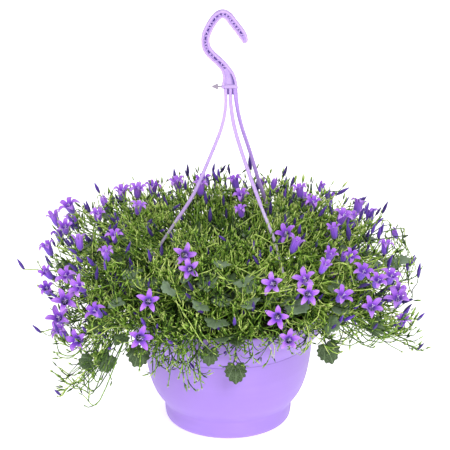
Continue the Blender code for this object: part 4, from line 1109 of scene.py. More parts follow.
def wander(path, amount, draw):
    """Lets a path sway a little between its ends."""
    t = np.linspace(0, 1, len(path))
    sway = np.zeros(len(path))
    for wave in (1, 2, 3):
        sway = sway + np.sin(np.pi * wave * t) * draw.uniform(-1, 1) / wave
    side = unit(np.cross(path[-1] - path[0], [draw.uniform(-1, 1) for _ in range(3)]))
    return path + side * (sway * amount)[:, None]


class Plant(Growth):
    """One fine piece of the plant, with its shapes, the room that it keeps clear and its own draw."""

    def __init__(self, shapes, kept, seed):
        super().__init__()
        self.shapes = shapes
        self.kept = kept
        self.draw = random.Random(seed)
        self.uniform = self.draw.uniform

    def askew(self, rise=(-1, 1), level=1):
        """A random direction: its level parts within a spread, its rise within a span."""
        return np.array([self.uniform(-level, level), self.uniform(-level, level), self.uniform(*rise)])

    def faced(self, axis, rise=0.2):
        """A frame along an axis, turned about it at random."""
        return frame_of(axis, [self.uniform(-1, 1), self.uniform(-1, 1), rise])

    def is_clear(self, path):
        """Whether a path keeps clear of the pot's wall and rim, the hanger's arms and the blooms."""
        out = np.hypot(path[:, 0], path[:, 1])
        walls = pot_outer(path[:, 2])
        beside = path[:, 2] < RIM_TOP + WALL_ROOM
        if (beside & (out > walls - POT_WALL - WALL_ROOM) & (out < walls + RIM_CLEAR)).any():
            return False
        path = np.vstack([path, (path[1:] + path[:-1]) / 2])
        away = np.linalg.norm(path[:, None] - self.kept[None, :, :3], axis=2) - self.kept[None, :, 3]
        return away.min() > 0

    def root_of(self, clump):
        """Where a stem comes out of the soil, in its clump's hole."""
        turn = self.uniform(0, 2 * math.pi)
        out = NECK_RADIUS * 0.85 * math.sqrt(self.draw.random())
        x = clump.at.x + math.cos(turn) * out
        y = clump.at.y + math.sin(turn) * out
        return np.array([x, y, soil_height(x, y) - ROOT_DEPTH])

    def bloom(self, at, axis, size, spin, half_open=False):
        turn = math.radians(spin)
        axis = unit(np.array(axis))
        axes = frame_of(axis + self.askew() * BLOOM_TILT, [math.cos(turn), math.sin(turn), 0.3])
        kinds = self.shapes.stars if float(np.dot(axis, np.array(TO_VIEW))) > STAR_FACING else self.shapes.bells
        shape = self.draw.choice(self.shapes.half_open if half_open else kinds)
        self.place(shape, at, axes, size, self.draw.random())

    def calyx(self, shape, at, axis):
        self.place(shape, at, self.faced(axis), self.uniform(*CALYX_SIZES), self.draw.random())

    def bud(self, at, axis):
        """A slim violet bud in its green calyx."""
        axes = self.faced(axis)
        size = self.uniform(*BUD_SIZES)
        self.place(self.shapes.bud, at, axes, size, self.draw.random())
        self.place(self.shapes.hugging, at, axes, size * 1.1, self.draw.random())

    def tip(self, at, axis):
        """A green bud with its star of narrow sepals."""
        axes = self.faced(axis)
        size = self.uniform(*TIP_SIZES)
        tone = self.draw.random()
        self.place(self.shapes.tip, at, axes, size, tone)
        self.place(self.shapes.star, at, axes, size, tone)

    def leaflet(self, at, ahead):
        axes = self.faced(ahead, 1.0)
        self.place(self.shapes.leaflet, at, axes, self.uniform(*LEAFLET_LENGTHS), self.uniform(0.2, 1.0))

    def leaf(self, kinds, root, ahead, face, width, tone):
        """A leaf whose stalk end is at root, with its upper side towards face."""
        ahead = unit(np.array(ahead))
        heart = np.array(root) + ahead * width * LEAF_HEART
        self.place(self.draw.choice(kinds), heart, frame_of(ahead, face), width * LEAF_GROW, tone)

    def stem(self, path, start, end, tone):
        """A fine stem that thins from one share of a thread's radius to another."""
        radii = np.linspace(THREAD_RADIUS * start, THREAD_RADIUS * end, len(path))
        self.tube(path, radii, 3, STEM_FINISH, tone)
        self.finish_tip(path[-1], unit(path[-1] - path[-2]))

    def finish_tip(self, at, axis):
        """What a fine stem ends in: a bud or half-open bell, a green bud, or one or two leaflets."""
        kind = self.draw.random()
        rim = min(max((abs(at[0]) - 0.10) / 0.08, (at[1] - 0.06) / 0.08, 0), 1)
        buds = (BUD_SHARE + RIM_BUD_SHARE * rim) * (0.25 if at[2] < RIM_TOP else 1)
        if kind < buds and in_box(np.array([at + axis * 0.018])):
            if kind < buds * HALF_OPEN_SHARE * rim:
                self.bloom(at, axis, self.uniform(*HALF_OPEN_SIZES), 0, True)
                self.calyx(self.shapes.hugging, at, axis)
            else:
                self.bud(at, axis)
        elif kind < TIP_SHARE:
            self.tip(at, axis)
        else:
            for _ in range(self.draw.choice((1, 2))):
                self.leaflet(at, unit(axis + self.askew() * 0.45))

    def thread_path(self, clump, tip, loose, dip):
        """A fine stem's path from the soil to a tip: over the rim, in an arch, or straight up in a bow."""
        root = self.root_of(clump)
        middle = np.array(clump.middle)
        level = unit(np.array([tip[0], tip[1], 0.0]))
        gate = middle + unit(tip - middle) * 0.010 + lifted(self.uniform(-0.004, 0.012))
        axis = unit(unit(tip - middle) + np.array([self.uniform(-0.7, 0.7), self.uniform(-0.7, 0.7), 0.3]))
        span = np.linalg.norm(tip - gate)
        lean = unit(lifted(1.0) + level * self.uniform(0.1, 0.7))
        if tip[2] < OVER_BELOW and np.hypot(tip[0], tip[1]) > RIM_RADIUS - 0.01:
            beside = np.array([-level[1], level[0], 0]) * self.uniform(-0.030, 0.030)
            over = level * (RIM_RADIUS + self.uniform(0.001, 0.022))
            over = over + lifted(RIM_TOP + self.uniform(0.006, 0.022)) + beside
            via = over + (tip - over) * 0.55 + level * 0.010 + lifted(0.006)
            if dip:
                via[2] = min(over[2], tip[2]) - self.uniform(0.1, 1.0) * dip
            return smooth([root, gate, over, via, tip], 5 if loose else 4)
        if self.draw.random() < ARCH_SHARE:
            out = unit(tip - lifted(WAIST))
            beside = unit(np.cross(out, self.askew((-0.6, 0.6))))
            via = tip - beside * self.uniform(0.025, 0.060) - out * self.uniform(0.002, 0.010)
            return smooth([root, gate, via, (via + tip) / 2 + out * self.uniform(0.002, 0.007), tip], 4)
        bow = bezier(gate, gate + lean * span * 0.40, tip - axis * span * 0.32, tip, THREAD_STEPS)
        return np.vstack([[root], bow])

    def thread(self, clump, tip, loose=False, dip=0.0):
        """A fine stem from the soil to a tip, with side branches, leaflets and buds, if it is clear."""
        path = self.thread_path(clump, tip, loose, dip)
        path = wander(path, self.uniform(0.002, 0.008), self.draw)
        if not (self.is_clear(path) and in_box(path) and (loose or in_cushion(path[-7:]))):
            return False
        # Hanging stems take only the darker tones, so they get less of the pale painted highlight.
        tone = self.uniform(0, 0.6 if loose else 1)
        self.stem(path, *((1.6, 1.15) if loose else (1.3, 0.85)), tone)
        self.twigs(path, self.draw.randint(3, 4), (0.35, 0.95), tone, loose)
        return True

    def company(self, line):
        """Fine stems that trail beside a placed one."""
        for _ in range(COMPANY):
            steps = int(len(line) * self.uniform(0.6, 1.0))
            t = np.linspace(0, 1, steps)[:, None]
            beside = unit(self.askew())
            strand = line[:steps] + beside * self.uniform(0.006, 0.024) * t**0.8
            strand = strand + lifted(self.uniform(0, 0.014)) * t**3
            strand = wander(strand, self.uniform(0.003, 0.008), self.draw)
            if self.is_clear(strand) and in_box(strand):
                tone = self.uniform(0, 0.5)
                self.stem(strand, 1.5, 0.9, tone)
                self.twigs(strand, 7, (0.42, 0.98), tone, True)

    def place_on(self, path, low, high):
        """A random point of a path between two shares of its length, and the way ahead there."""
        lengths = len(path) - 1
        at = self.uniform(low, high) * lengths
        n = min(int(at), lengths - 1)
        step = path[n + 1] - path[n]
        return path[n] + step * (at - n), unit(step)

    def twigs(self, path, count, span, tone, trailing):
        """Side branches along a share of a path, each curving upwards, and single leaflets between them."""
        low, high = span
        for _ in range(count):
            base, ahead = self.place_on(path, low, high)
            away = unit(self.askew((-0.4, 1.0)))
            length = self.uniform(*TWIG_LENGTHS) * (0.6 if trailing else 1)
            end = base + unit(ahead * 1.2 + away * 0.9 + lifted(0.25)) * length
            arrive = end - (ahead * 0.2 + lifted(0.35)) * length
            twig = bezier(base, base + ahead * 0.4 * length, arrive, end, 4)
            if self.is_clear(twig) and in_box(twig) and (trailing or in_cushion(twig[-1:])):
                radii = np.linspace(BRANCH_RADIUS * 1.3, BRANCH_RADIUS, len(twig))
                self.tube(twig, radii, 3, STEM_FINISH, tone)
                self.finish_tip(end, unit(twig[-1] - twig[-2]))
                if self.draw.random() < TWIG_LEAFLET_SHARE:
                    self.leaflet(twig[2], unit(ahead + away))
        for _ in range(count // 3):
            base, ahead = self.place_on(path, low - 0.1, high)
            self.leaflet(base, unit(self.askew((0, 1.2)) + ahead))

    def placed_parts(self, clump, blooms):
        """The stems, buds, leaves and blooms that have their own place in the layout."""
        for path in clump.stems:
            line = smooth([self.root_of(clump), *(np.array(point) for point in path)], 4)
            tone = self.uniform(0.2, 0.9)
            self.tube(line, np.linspace(THREAD_RADIUS * 1.5, THREAD_RADIUS, len(line)), 5, STEM_FINISH, tone)
            if float(line[-1][2]) < RIM_TOP - 0.02:
                self.twigs(line, 14, (0.45, 0.98), tone, True)
                self.company(line)
            else:
                self.twigs(line, 4, (0.55, 0.93), tone, False)
        for tip, axis in clump.buds:
            self.bud(np.array(tip), np.array(axis) + lifted(BUD_LIFT))
        for root, ahead, face, width in clump.leaves:
            # Leaves below the rim line take dark tones and those above it light tones: painted shade under the
            # foliage and painted light on its top.
            tone = self.uniform(0.0, 0.35) if root[2] < OVER_BELOW else self.uniform(0.55, 1.0)
            self.leaf(self.shapes.leaves, root, ahead, face, width, tone)
        for n in clump.blooms:
            base, axis, size, spin = blooms[n]
            self.calyx(self.shapes.calyx, np.array(base - axis * CALYX_LENGTH * 0.6), axis)
            foot = np.array(base - axis * CALYX_LENGTH)
            self.place(self.shapes.cup, foot, frame_of(axis, [0.3, 0.9, 0.1]), size, 0.3)
            if n >= BLOOM_NODES:
                self.bloom(np.array(base), axis, size, spin)

    def thread_tip(self, clump):
        """A tip for a fine stem in its clump's own sector."""
        if clump.inner:
            azimuth = clump.azimuth + self.uniform(-INNER_SPREAD, INNER_SPREAD)
            share = self.uniform(0.78, 0.97)
            return cushion_point(azimuth, self.uniform(0.80, 0.99), share)
        azimuth = clump.azimuth + self.uniform(-OUTER_SPREAD, OUTER_SPREAD)
        kind = self.draw.random()
        if abs(clump.azimuth) < FRONT_HALF:
            spans = (FRONT_DROOP_SHARE, (-0.70, 0.05))
        else:
            spans = (DROOP_SHARE, (-0.95, -0.15))
        if kind < spans[0]:
            lift = self.uniform(*spans[1])
        else:
            lift = self.uniform(-0.3 if kind < 0.6 else 0.2, 0.97)
        return cushion_point(azimuth, lift, self.uniform(0.74, 1.0))

    def hangings(self, clump):
        """The bundles of fine stems that hang over the rim in front of a clump."""
        for azimuth, spread, count, nearest, farthest, low, high, dip in HANGINGS:
            for _ in range(count if abs(azimuth - clump.azimuth) <= 15 else 0):
                out = self.uniform(nearest, farthest)
                turned = outward(azimuth + self.uniform(-spread, spread))
                self.thread(clump, np.array(turned * out + UP * self.uniform(low, high)), True, dip)

    def fill_leaves(self, clump):
        """Leaves inside the cushion, on thin stalks."""
        spread, count = (28, INNER_FILL_LEAVES) if clump.inner else (15, OUTER_FILL_LEAVES)
        for _ in range(count):
            azimuth = clump.azimuth + self.uniform(-spread, spread)
            share = self.uniform(0.35, 0.88)
            at = cushion_point(azimuth, self.uniform(-0.15, 0.75), share)
            if clump.inner:
                at[:2] *= self.uniform(0.2, 0.5)
            level = np.array(outward(azimuth))
            ahead = unit(level + self.askew((-0.5, 0.4), 0.5))
            upper = np.array([self.uniform(-0.4, 0.4), self.uniform(-0.4, 0.4), 0.8])
            face = unit(upper + level * self.uniform(0.2, 1.2))
            width = self.uniform(*FILL_WIDTHS)
            root = at - ahead * width * 0.5
            side = np.cross(ahead, face) * width * 0.5
            ends = [root, at, at + ahead * width * 0.6, at + side, at - side]
            stalk = smooth([self.root_of(clump), np.array(clump.middle), root], 4)
            if self.is_clear(np.vstack([ends, stalk[2:]])) and at[2] > SOIL_TOP + 0.010:
                self.tube(stalk, np.full(len(stalk), THREAD_RADIUS), 4, STEM_FINISH, 0.3)
                self.leaf(self.shapes.far_leaves, root, ahead, face, width, self.uniform(0.45, 1.0))

    def grow(self, clump, blooms):
        """Fills the fine piece that stands for a clump."""
        self.placed_parts(clump, blooms)
        wanted = INNER_THREADS if clump.inner else OUTER_THREADS
        grown = 0
        for _ in range(wanted * THREAD_TRIES):
            if grown < wanted:
                grown += self.thread(clump, self.thread_tip(clump))
        if not clump.inner:
            self.hangings(clump)
        self.fill_leaves(clump)


def colour(shade):
    """A linear colour from the 0 to 255 values of a screen, or one of four values as it is."""
    if len(shade) == 4:
        return shade
    return (*(((v / 255 + 0.055) / 1.055) ** 2.4 if v > 10 else v / 255 / 12.92 for v in shade), 1.0)


class Nodes:
    """Short ways to add shader nodes to a tree."""

    def __init__(self, tree):
        self.tree = tree

    def add(self, kind, inputs, output=0, **settings):
        """Adds a node and gives an output. An input's value is a socket to link or a plain value to set."""
        item = self.tree.nodes.new("ShaderNode" + kind)
        for key, value in settings.items():
            setattr(item, key, value)
        for key, value in inputs.items():
            if isinstance(value, bpy.types.NodeSocket):
                self.tree.links.new(value, item.inputs[key])
            else:
                item.inputs[key].default_value = value
        return item.outputs[output]

    def read(self, key):
        return self.add("Attribute", {}, "Fac", attribute_name=key)

    def maths(self, operation, first, second):
        return self.add("Math", {0: first, 1: second}, operation=operation)

    def scaled(self, socket, share):
        return self.maths("MULTIPLY", socket, share)

    def swing(self, socket, share):
        """A noise's swing about its middle, by a share."""
        return self.scaled(self.maths("SUBTRACT", socket, 0.5), share)

    def total(self, *sockets):
        return functools.reduce(lambda first, second: self.maths("ADD", first, second), sockets)

    def place(self):
        return self.add("TexCoord", {}, "Object")

    def spots(self, scale, detail=3.0):
        inputs = {"Vector": self.place(), "Scale": scale, "Detail": detail, "Roughness": 0.6}
        return self.add("TexNoise", inputs, "Fac")

    def cells(self, scale, **settings):
        return self.add("TexVoronoi", {"Vector": self.place(), "Scale": scale}, "Distance", **settings)

    def ranged(self, socket, low, high, to_low=0.0, to_high=1.0):
        inputs = {"Value": socket, "From Min": low, "From Max": high, "To Min": to_low, "To Max": to_high}
        return self.add("MapRange", inputs, "Result")

    def line_at(self, socket, width, strength):
        """A soft line where a value comes to 0."""
        return self.ranged(socket, 0.0, width, strength, 0.0)

    def ramp(self, factor, stops):
        """A colour ramp from (position, screen colour) stops."""
        output = self.add("ValToRGB", {"Fac": factor}, "Color")
        line = output.node.color_ramp
        while len(line.elements) < len(stops):
            line.elements.new(0.5)
        for element, (position, shade) in zip(line.elements, stops):
            element.position = position
            element.color = colour(shade)
        return output

    def blend(self, factor, first, shade):
        return self.add("Mix", {0: factor, 6: first, 7: colour(shade)}, 2, data_type="RGBA")


class Look(Nodes):
    """A material with its Principled shader."""

    def __init__(self, name, base, **settings):
        self.finish = bpy.data.materials.new(name)
        self.finish.use_nodes = True
        self.finish.diffuse_color = colour(base)
        super().__init__(self.finish.node_tree)
        self.shader = self.tree.nodes["Principled BSDF"]
        settings = {"Base_Color": colour(base), **settings}
        for key, value in settings.items():
            self.shader.inputs[key.replace("_", " ")].default_value = value

    def dressed(self, shade, grain, gloss, relief=None):
        """The material with its colour, gloss by the grain, and a relief of (height, strength, distance)."""
        links = {"Base Color": shade, "Roughness": self.ranged(grain, 0.0, 1.0, *gloss)}
        if relief:
            height, strength, distance = relief
            inputs = {"Height": height, "Strength": strength, "Distance": distance}
            links["Normal"] = self.add("Bump", inputs, "Normal")
        for key, socket in links.items():
            self.tree.links.new(socket, self.shader.inputs[key])
        return self.finish


def plant_finish(name, base, settings, scale, weights, swing, stops, gloss, depth, ridged):
    """A finish whose colour runs by the values of the piece and a fine grain."""
    look = Look(name, base, **settings)
    grain = look.spots(scale)
    parts = [look.scaled(look.read(key), share) for key, share in weights.items()]
    if swing:
        parts.append(look.swing(grain, swing))
    height = look.total(grain, look.read("across")) if ridged else grain
    shade = look.ramp(look.total(*parts), stops)
    return look.dressed(shade, grain, gloss, (height, 0.3, depth) if depth else None)


def leaf_finish():
    look = Look("leaf_green", (74, 98, 64), Roughness=0.55, Specular_IOR_Level=0.4)
    grain = look.spots(180, 5)
    mixed = look.total(look.scaled(look.read("tone"), 0.8), look.swing(look.spots(40, 2), 0.5))
    angle = look.maths("ARCTAN2", look.read("across"), look.read("along"))
    veins = look.line_at(look.maths("PINGPONG", look.scaled(angle, 2.4), 0.5), 0.10, 1.0)
    net = look.line_at(look.cells(420.0, feature="DISTANCE_TO_EDGE"), 0.12, 0.35)
    lines = look.maths("MAXIMUM", look.scaled(veins, 0.6), net)
    shade = look.blend(lines, look.ramp(mixed, LEAF_SHADES), (132, 156, 112))
    relief = look.maths("SUBTRACT", look.scaled(grain, 0.4), lines)
    return look.dressed(shade, grain, (0.45, 0.7), (relief, 0.5, 0.0004))


def petal_finish(name, vein_shade, stops):
    """A petal's side: its colour runs from throat to tip, with a middle vein, side veins and a fine grain."""
    base = stops[len(stops) // 2][1]
    look = Look(name, base, Roughness=0.5, Specular_IOR_Level=0.3, Sheen_Weight=0.25, Sheen_Roughness=0.4)
    grain = look.spots(240, 4)
    mixed = look.total(look.read("along"), look.swing(look.read("tone"), 0.34), look.swing(grain, 0.14))
    veins = look.line_at(look.maths("PINGPONG", look.scaled(look.read("across"), 1.5), 0.5), 0.16, 0.55)
    shade = look.blend(veins, look.ramp(mixed, stops), vein_shade)
    return look.dressed(shade, grain, (0.42, 0.6), (look.maths("SUBTRACT", grain, veins), 0.35, 0.0003))


def plastic_finish(name, roughness, speckle, *shades):
    """Moulded plastic: soft cloudy shade, faint flow lines, a fine grain in gloss and relief, and dark violet
    painted shade where the piece's across values ask for it.
    """
    settings = {"Subsurface_Weight": 0.12, "Subsurface_Scale": 0.004, "Subsurface_Radius": (1.0, 0.7, 1.0)}
    look = Look(name, shades[1], Roughness=roughness, Specular_IOR_Level=0.45, **settings)
    cloud = look.spots(9, 3)
    grain = look.spots(900, 2)
    flat = look.add("Mapping", {"Vector": look.place(), "Scale": (6.0, 6.0, 160.0)}, "Vector")
    flow = look.add("TexNoise", {"Vector": flat, "Scale": 1.0, "Detail": 3.0}, "Fac")
    mixed = look.total(look.scaled(cloud, 0.7), look.scaled(flow, 0.3))
    shade = look.ramp(mixed, list(zip((0.25, 0.5, 0.75), shades)))
    if speckle:
        shade_and_speckle_marks = look.ranged(look.spots(700, 4), 0.52, 0.66)
        shade = look.blend(look.scaled(shade_and_speckle_marks, speckle), shade, (240, 236, 242))
    # Painted shade and shadow: dark violet by the across values, in the pot's collar groove, in the hook's web,
    # slots and edges, and on the sheet between the arms.
    shade = look.blend(look.ranged(look.read("across"), 0.1, 1.0), shade, (62, 34, 128))
    relief = look.total(grain, look.scaled(flow, 0.6))
    return look.dressed(shade, grain, (roughness - 0.06, roughness + 0.10), (relief, 0.12, 0.0002))


def soil_finish():
    look = Look("dark_soil", (52, 40, 30), Roughness=0.95)
    grain = look.spots(500, 5)
    mixed = look.total(look.scaled(look.cells(320.0), 0.5), look.scaled(grain, 0.5))
    return look.dressed(look.ramp(mixed, SOIL_SHADES), grain, (0.85, 1.0), (mixed, 0.8, 0.0015))


def turned_points(rows, steps):
    """Points turned round Z from (radius, height) rows."""
    turn = turns_of(steps)
    radius, height = np.array(rows).T[:, :, None]
    return np.stack([np.cos(turn) * radius, np.sin(turn) * radius, height + 0 * turn], axis=2).reshape(-1, 3)


def fine_profile(points, rows):
    """Points at even steps along a smooth line through (radius, height) points."""
    line = smooth([(radius, 0, height) for radius, height in points], 8)[:, [0, 2]]
    far = np.concatenate([[0], np.cumsum(np.linalg.norm(np.diff(line, axis=0), axis=1))])
    even = np.linspace(0, far[-1], rows)
    return np.column_stack([np.interp(even, far, line[:, 0]), np.interp(even, far, line[:, 1])])


def marked_outside():
    """The pot's outer side from the rim down, with the lines of its moulding, and the painted shade of each
    row, dark in the collar's groove.
    """
    outer = fine_profile(POT_OUTER, FINE_ROWS)
    low, high = WAIST_SPAN
    soft = (outer[:, 1] > low) & (outer[:, 1] < high)
    for _ in range(WAIST_PASSES):
        even = (np.roll(outer[:, 0], 1) + np.roll(outer[:, 0], -1)) / 4 + outer[:, 0] / 2
        outer[soft, 0] = even[soft]
    shade_and_speckle_marks = np.zeros(len(outer))
    # A line's painted_shade darkens its rows as painted shadow in its groove; only the collar's groove has any.
    for at, depth, width, painted_shade in POT_LINES:
        close = at + width * np.linspace(2.0, -2.0, 9)
        radius, dark = (np.interp(close, outer[::-1, 1], row[::-1]) for row in (outer[:, 0], shade_and_speckle_marks))
        outer = np.vstack([outer, np.column_stack([radius, close])])
        order = np.argsort(-outer[:, 1], kind="stable")
        outer, shade_and_speckle_marks = outer[order], np.concatenate([shade_and_speckle_marks, dark])[order]
        line = np.exp(-(((outer[:, 1] - at) / width) ** 2))
        outer[:, 0] -= depth * line
        shade_and_speckle_marks = np.maximum(shade_and_speckle_marks, painted_shade * line)
    return outer, shade_and_speckle_marks


def make_fine_pot(finish):
    """The pot turned finely, with its moulding lines, its drain holes and the hanger's slots."""
    outer, shade_and_speckle_marks = marked_outside()
    lip = [(RIM_RADIUS - inside, RIM_TOP - down) for inside, down in LIP]
    corner = POT_FLOOR + FLOOR_ROUND
    inside = [(pot_inner(height), height) for height in (LIP_FOOT, *POT_INNER_HEIGHTS, corner)]
    inner = fine_profile([*inside, (FLOOR_FLAT, POT_FLOOR)], INNER_ROWS)
    floor, under = ([(AXIS_HOLE, height), (FLOOR_RING, height)] for height in (POT_FLOOR, 0.0))
    rows = [*floor, *inner[::-1], *lip, *outer, *under[::-1]]
    # dark is the painted shade of each row, passed to the finish as across.
    dark = np.concatenate([np.zeros(2 + len(inner) + len(lip)), shade_and_speckle_marks, np.zeros(2)])
    growth = Growth()
    faces = tube_faces(len(rows), FINE_STEPS)[:, ::-1]
    growth.add(turned_points(rows, FINE_STEPS), faces, across=np.repeat(dark, FINE_STEPS))
    pot = growth.piece("fine_pot", [finish])
    shape = bmesh.new()
    for n in range(DRAIN_HOLES):
        at = Matrix.Translation(Vector(way(2 * math.pi * n / DRAIN_HOLES)) * DRAIN_RING)
        bmesh.ops.create_cone(
            shape, cap_ends=True, segments=24, radius1=DRAIN_RADIUS, radius2=DRAIN_RADIUS, depth=0.02, matrix=at
        )
    for azimuth, *_ in ARMS:
        at = Matrix.Translation(outward(azimuth) * pot_inner(TOE_AT) + UP * TOE_AT)
        size = (5 * POT_WALL, TOE_WIDE + 2 * GAP, TOE_HIGH + 2 * GAP, 1)
        bmesh.ops.create_cube(shape, size=1, matrix=at @ turn_to(azimuth) @ Matrix.Diagonal(size))
    holes = bpy.data.meshes.new("pot_holes")
    shape.to_mesh(holes)
    shape.free()
    cutter = link("pot_holes", holes)
    knife = pot.modifiers.new("Cut", "BOOLEAN")
    knife.operation = "DIFFERENCE"
    knife.object = cutter
    knife.solver = "EXACT"
    mesh = bpy.data.meshes.new_from_object(pot.evaluated_get(bpy.context.evaluated_depsgraph_get()))
    pot.modifiers.clear()
    pot.data = mesh
    mesh.shade_smooth()
    mesh.set_sharp_from_angle(angle=math.radians(50))
    bpy.data.objects.remove(cutter, do_unlink=True)
    return pot


def make_fine_soil(finish):
    """The soil's crumbly top, on the solid's own sides and foot."""
    rings = np.concatenate([[0.002], np.linspace(0.04, 1.0, 46)])
    top = turned_points([(ring * (pot_inner(SOIL_EDGE) - GAP), 0) for ring in rings], SOIL_STEPS)
    for n, (x, y, _) in enumerate(top):
        crumbs = sum(noise.noise(Vector((x, y, z)) * scale) * depth for z, scale, depth in CRUMBS)
        fade = 1 - rings[n // SOIL_STEPS] ** 8
        top[n, 2] = soil_height(x, y) - SOIL_SINK + crumbs * fade
    side = [(pot_inner(height) - GAP, height) for height in POT_INNER_HEIGHTS if height < SOIL_EDGE]
    low = POT_FLOOR + GAP
    corner = low + FLOOR_ROUND
    side += [(pot_inner(corner) - 2 * GAP, corner), (FLOOR_FLAT - 2 * GAP, low), (AXIS_HOLE, low)]
    growth = Growth()
    faces = tube_faces(len(rings) + len(side), SOIL_STEPS)[:, ::-1]
    growth.add(np.vstack([top, turned_points(side, SOIL_STEPS)]), faces)
    return growth.piece("fine_soil", [finish])


def band_section(half, web, dash, edge):
    """The hook band's outline at a half-width: fat rims on both edges and a recessed web between them. Each
    point carries its painted shade: on the outer edges, in the web, in the slots (dash) and in a line by the
    right rim (edge).
    """
    deep = HOOK_DEPTH / 2
    rim = RIM_WIDTH / 2
    slot = web - 0.0008 * dash
    turn = np.linspace(0, math.pi, 7)
    right = [(half, 0.0, EDGE_PAINTED_SHADE)]
    right += [(half - rim + math.cos(t) * rim, deep - CROWN + math.sin(t) * CROWN, 0.0) for t in turn]
    right += [(half - RIM_WIDTH - 0.0001, web, edge), (0.0013, web, WEB_PAINTED_SHADE)]
    right += [(0.0008, slot, dash), (0.0, slot, dash)]
    left = [(-across, depth, painted_shade) for across, depth, painted_shade in right[:-1]]
    left[-3] = (*left[-3][:2], min(edge, WEB_PAINTED_SHADE))
    top = right + left[::-1]
    return top + [(across, -depth, painted_shade) for across, depth, painted_shade in top[-2:0:-1]]


def make_fine_hanger(finishes):
    """The hook band with its rims and ribs, the foot with its ledge, the hub, the arms and their toes."""
    growth = Growth()
    line = smooth_path([Vector(row) for row in HOOK_LINE], 10)
    path = [Vector((x, 0, z)) for x, z, _ in line]
    lengths = [0.0]
    for a, b in zip(path, path[1:]):
        lengths.append(lengths[-1] + (b - a).length)
    total = lengths[-1]
    dashes = hook_dashes(total - FOOT_LENGTH - 0.003)
    rows = []
    shade_and_speckle_marks = []
    for n, (point, (_, _, half), length) in enumerate(zip(path, line, lengths)):
        ahead = (path[min(n + 1, len(path) - 1)] - path[max(n - 1, 0)]).normalized()
        side = Vector((-ahead.z, 0, ahead.x))
        foot = min(max((length - total + FOOT_LENGTH) / FOOT_EASE, 0), 1)
        start = max(1 - length / NOSE_EASE, 0)
        level = max(foot * FOOT_WEB, start * (HOOK_DEPTH / 2 - 0.0004), WEB_HALF)
        # Painted shade: full dark in the slots, and on the foot in a line by the right rim, as their shadows;
        # elsewhere the web's lighter painted shade.
        dash = 1.0 if any(a < length < b for a, b in dashes) else WEB_PAINTED_SHADE
        edge = 1.0 if foot > 0.4 and total - length > LEDGE_CLEAR else WEB_PAINTED_SHADE
        for across, depth, painted_shade in band_section(half, level, dash, edge):
            rows.append(tuple(point + side * across + Vector((0, depth, 0))))
            shade_and_speckle_marks.append(painted_shade if start < 0.9 else 0.0)
    size = len(rows) // len(path)
    nose = []
    ahead = (path[0] - path[1]).normalized()
    for step, share in NOSE:
        for row in rows[:size]:
            out = Vector(row) - path[0]
            flat = Vector((out.x, 0, out.z)) * share
            side = Vector((0, out.y * min(1, share + 0.15), 0))
            nose.append(tuple(path[0] + flat + side + ahead * HOOK_NOSE * step))
    faces = tube_faces(len(path) + len(NOSE), size)[:, ::-1]
    growth.add(np.array(nose + rows), faces, across=np.array([0.0] * len(nose) + shade_and_speckle_marks))
    add_ribs(growth, path, lengths, dashes)
    add_hub(growth)
    for arm, shape in zip(ARMS, ARM_SHAPES):
        add_arm(growth, arm, *shape)
    return growth.piece("fine_hanger", finishes)


def hook_dashes(reach):
    """The slots along the hook's channel, slightly recessed and painted dark as their shadow, as (start, end)
    along the band.
    """
    draw = random.Random(SEED + 7)
    dashes = []
    at = DASH_START
    while at < reach:
        end = at + draw.uniform(*DASH_LENGTHS)
        dashes.append((at, end))
        at = end + draw.uniform(*DASH_GAPS)
    return dashes


def add_ribs(growth, path, lengths, dashes):
    """Zigzag ribs across the channel on both faces."""

    def at(distance, side):
        n = min(max(int(np.searchsorted(lengths, distance)) - 1, 0), len(path) - 2)
        share = (distance - lengths[n]) / (lengths[n + 1] - lengths[n])
        ahead = (path[n + 1] - path[n]).normalized()
        return path[n].lerp(path[n + 1], share) + Vector((-ahead.z, 0, ahead.x)) * side

    for face in (-1, 1):
        level = Vector((0, face * RIB_LEVEL, 0))
        for n, (first, second) in enumerate(zip(dashes, dashes[1:])):
            middle = (first[1] + second[0]) / 2
            side = RIB_REACH if n % 2 else -RIB_REACH
            start, end = at(middle - RIB_SLANT, side) + level, at(middle + RIB_SLANT, -side) + level
            line = np.array([list(start.lerp(end, share)) for share in (0, 0.5, 1)])
            growth.tube(line, RIB_RADII, 8)


def soft_ring(turn, wide, thick, power=0.35):
    """A rounded rectangle's outline, as (across, deep) at each turn."""
    across = np.sign(np.cos(turn)) * np.abs(np.cos(turn)) ** power * wide
    deep = np.sign(np.sin(turn)) * np.abs(np.sin(turn)) ** power * thick
    return across, deep


def add_block(growth, rows, wide, thick, at, across=0.0):
    """A rounded block from (share of its width, height) rows, each with its share of the thickness."""
    turn = turns_of(36)
    points = []
    for share, thick_share, height in rows:
        out, deep = soft_ring(turn, wide * share, thick * thick_share)
        points.append(np.column_stack([out, deep, np.full(len(turn), height)]))
    growth.add(np.vstack(points) + at, tube_faces(len(rows), len(turn))[:, ::-1], across=across)


def add_hub(growth):
    """The block under the foot, with a thin dark sheet down between the arms as painted shadow in their gaps,
    and the ledge across the foot.
    """
    rows = [(share, share, height * HUB_SIZE.z) for share, height in HUB_ROWS]
    add_block(growth, rows, HUB_SIZE.x / 2, HUB_SIZE.y / 2, np.array(HUB_AT))
    out, height = LEDGE_AT
    for face in (-1, 1):
        line = np.array([[x, face * out, height] for x in np.linspace(*LEDGE_ENDS, len(LEDGE_RADII))])
        growth.tube(line, LEDGE_RADII, 10)
    # A thin dark sheet in the gaps between the arms: painted shadow.
    add_block(growth, SLIT_SHADOW_ROWS, *SLIT_SHADOW_HALF, np.array([HUB_AT.x, SLIT_SHADOW_DEPTH, 0]), SLIT_PAINTED_SHADOW)


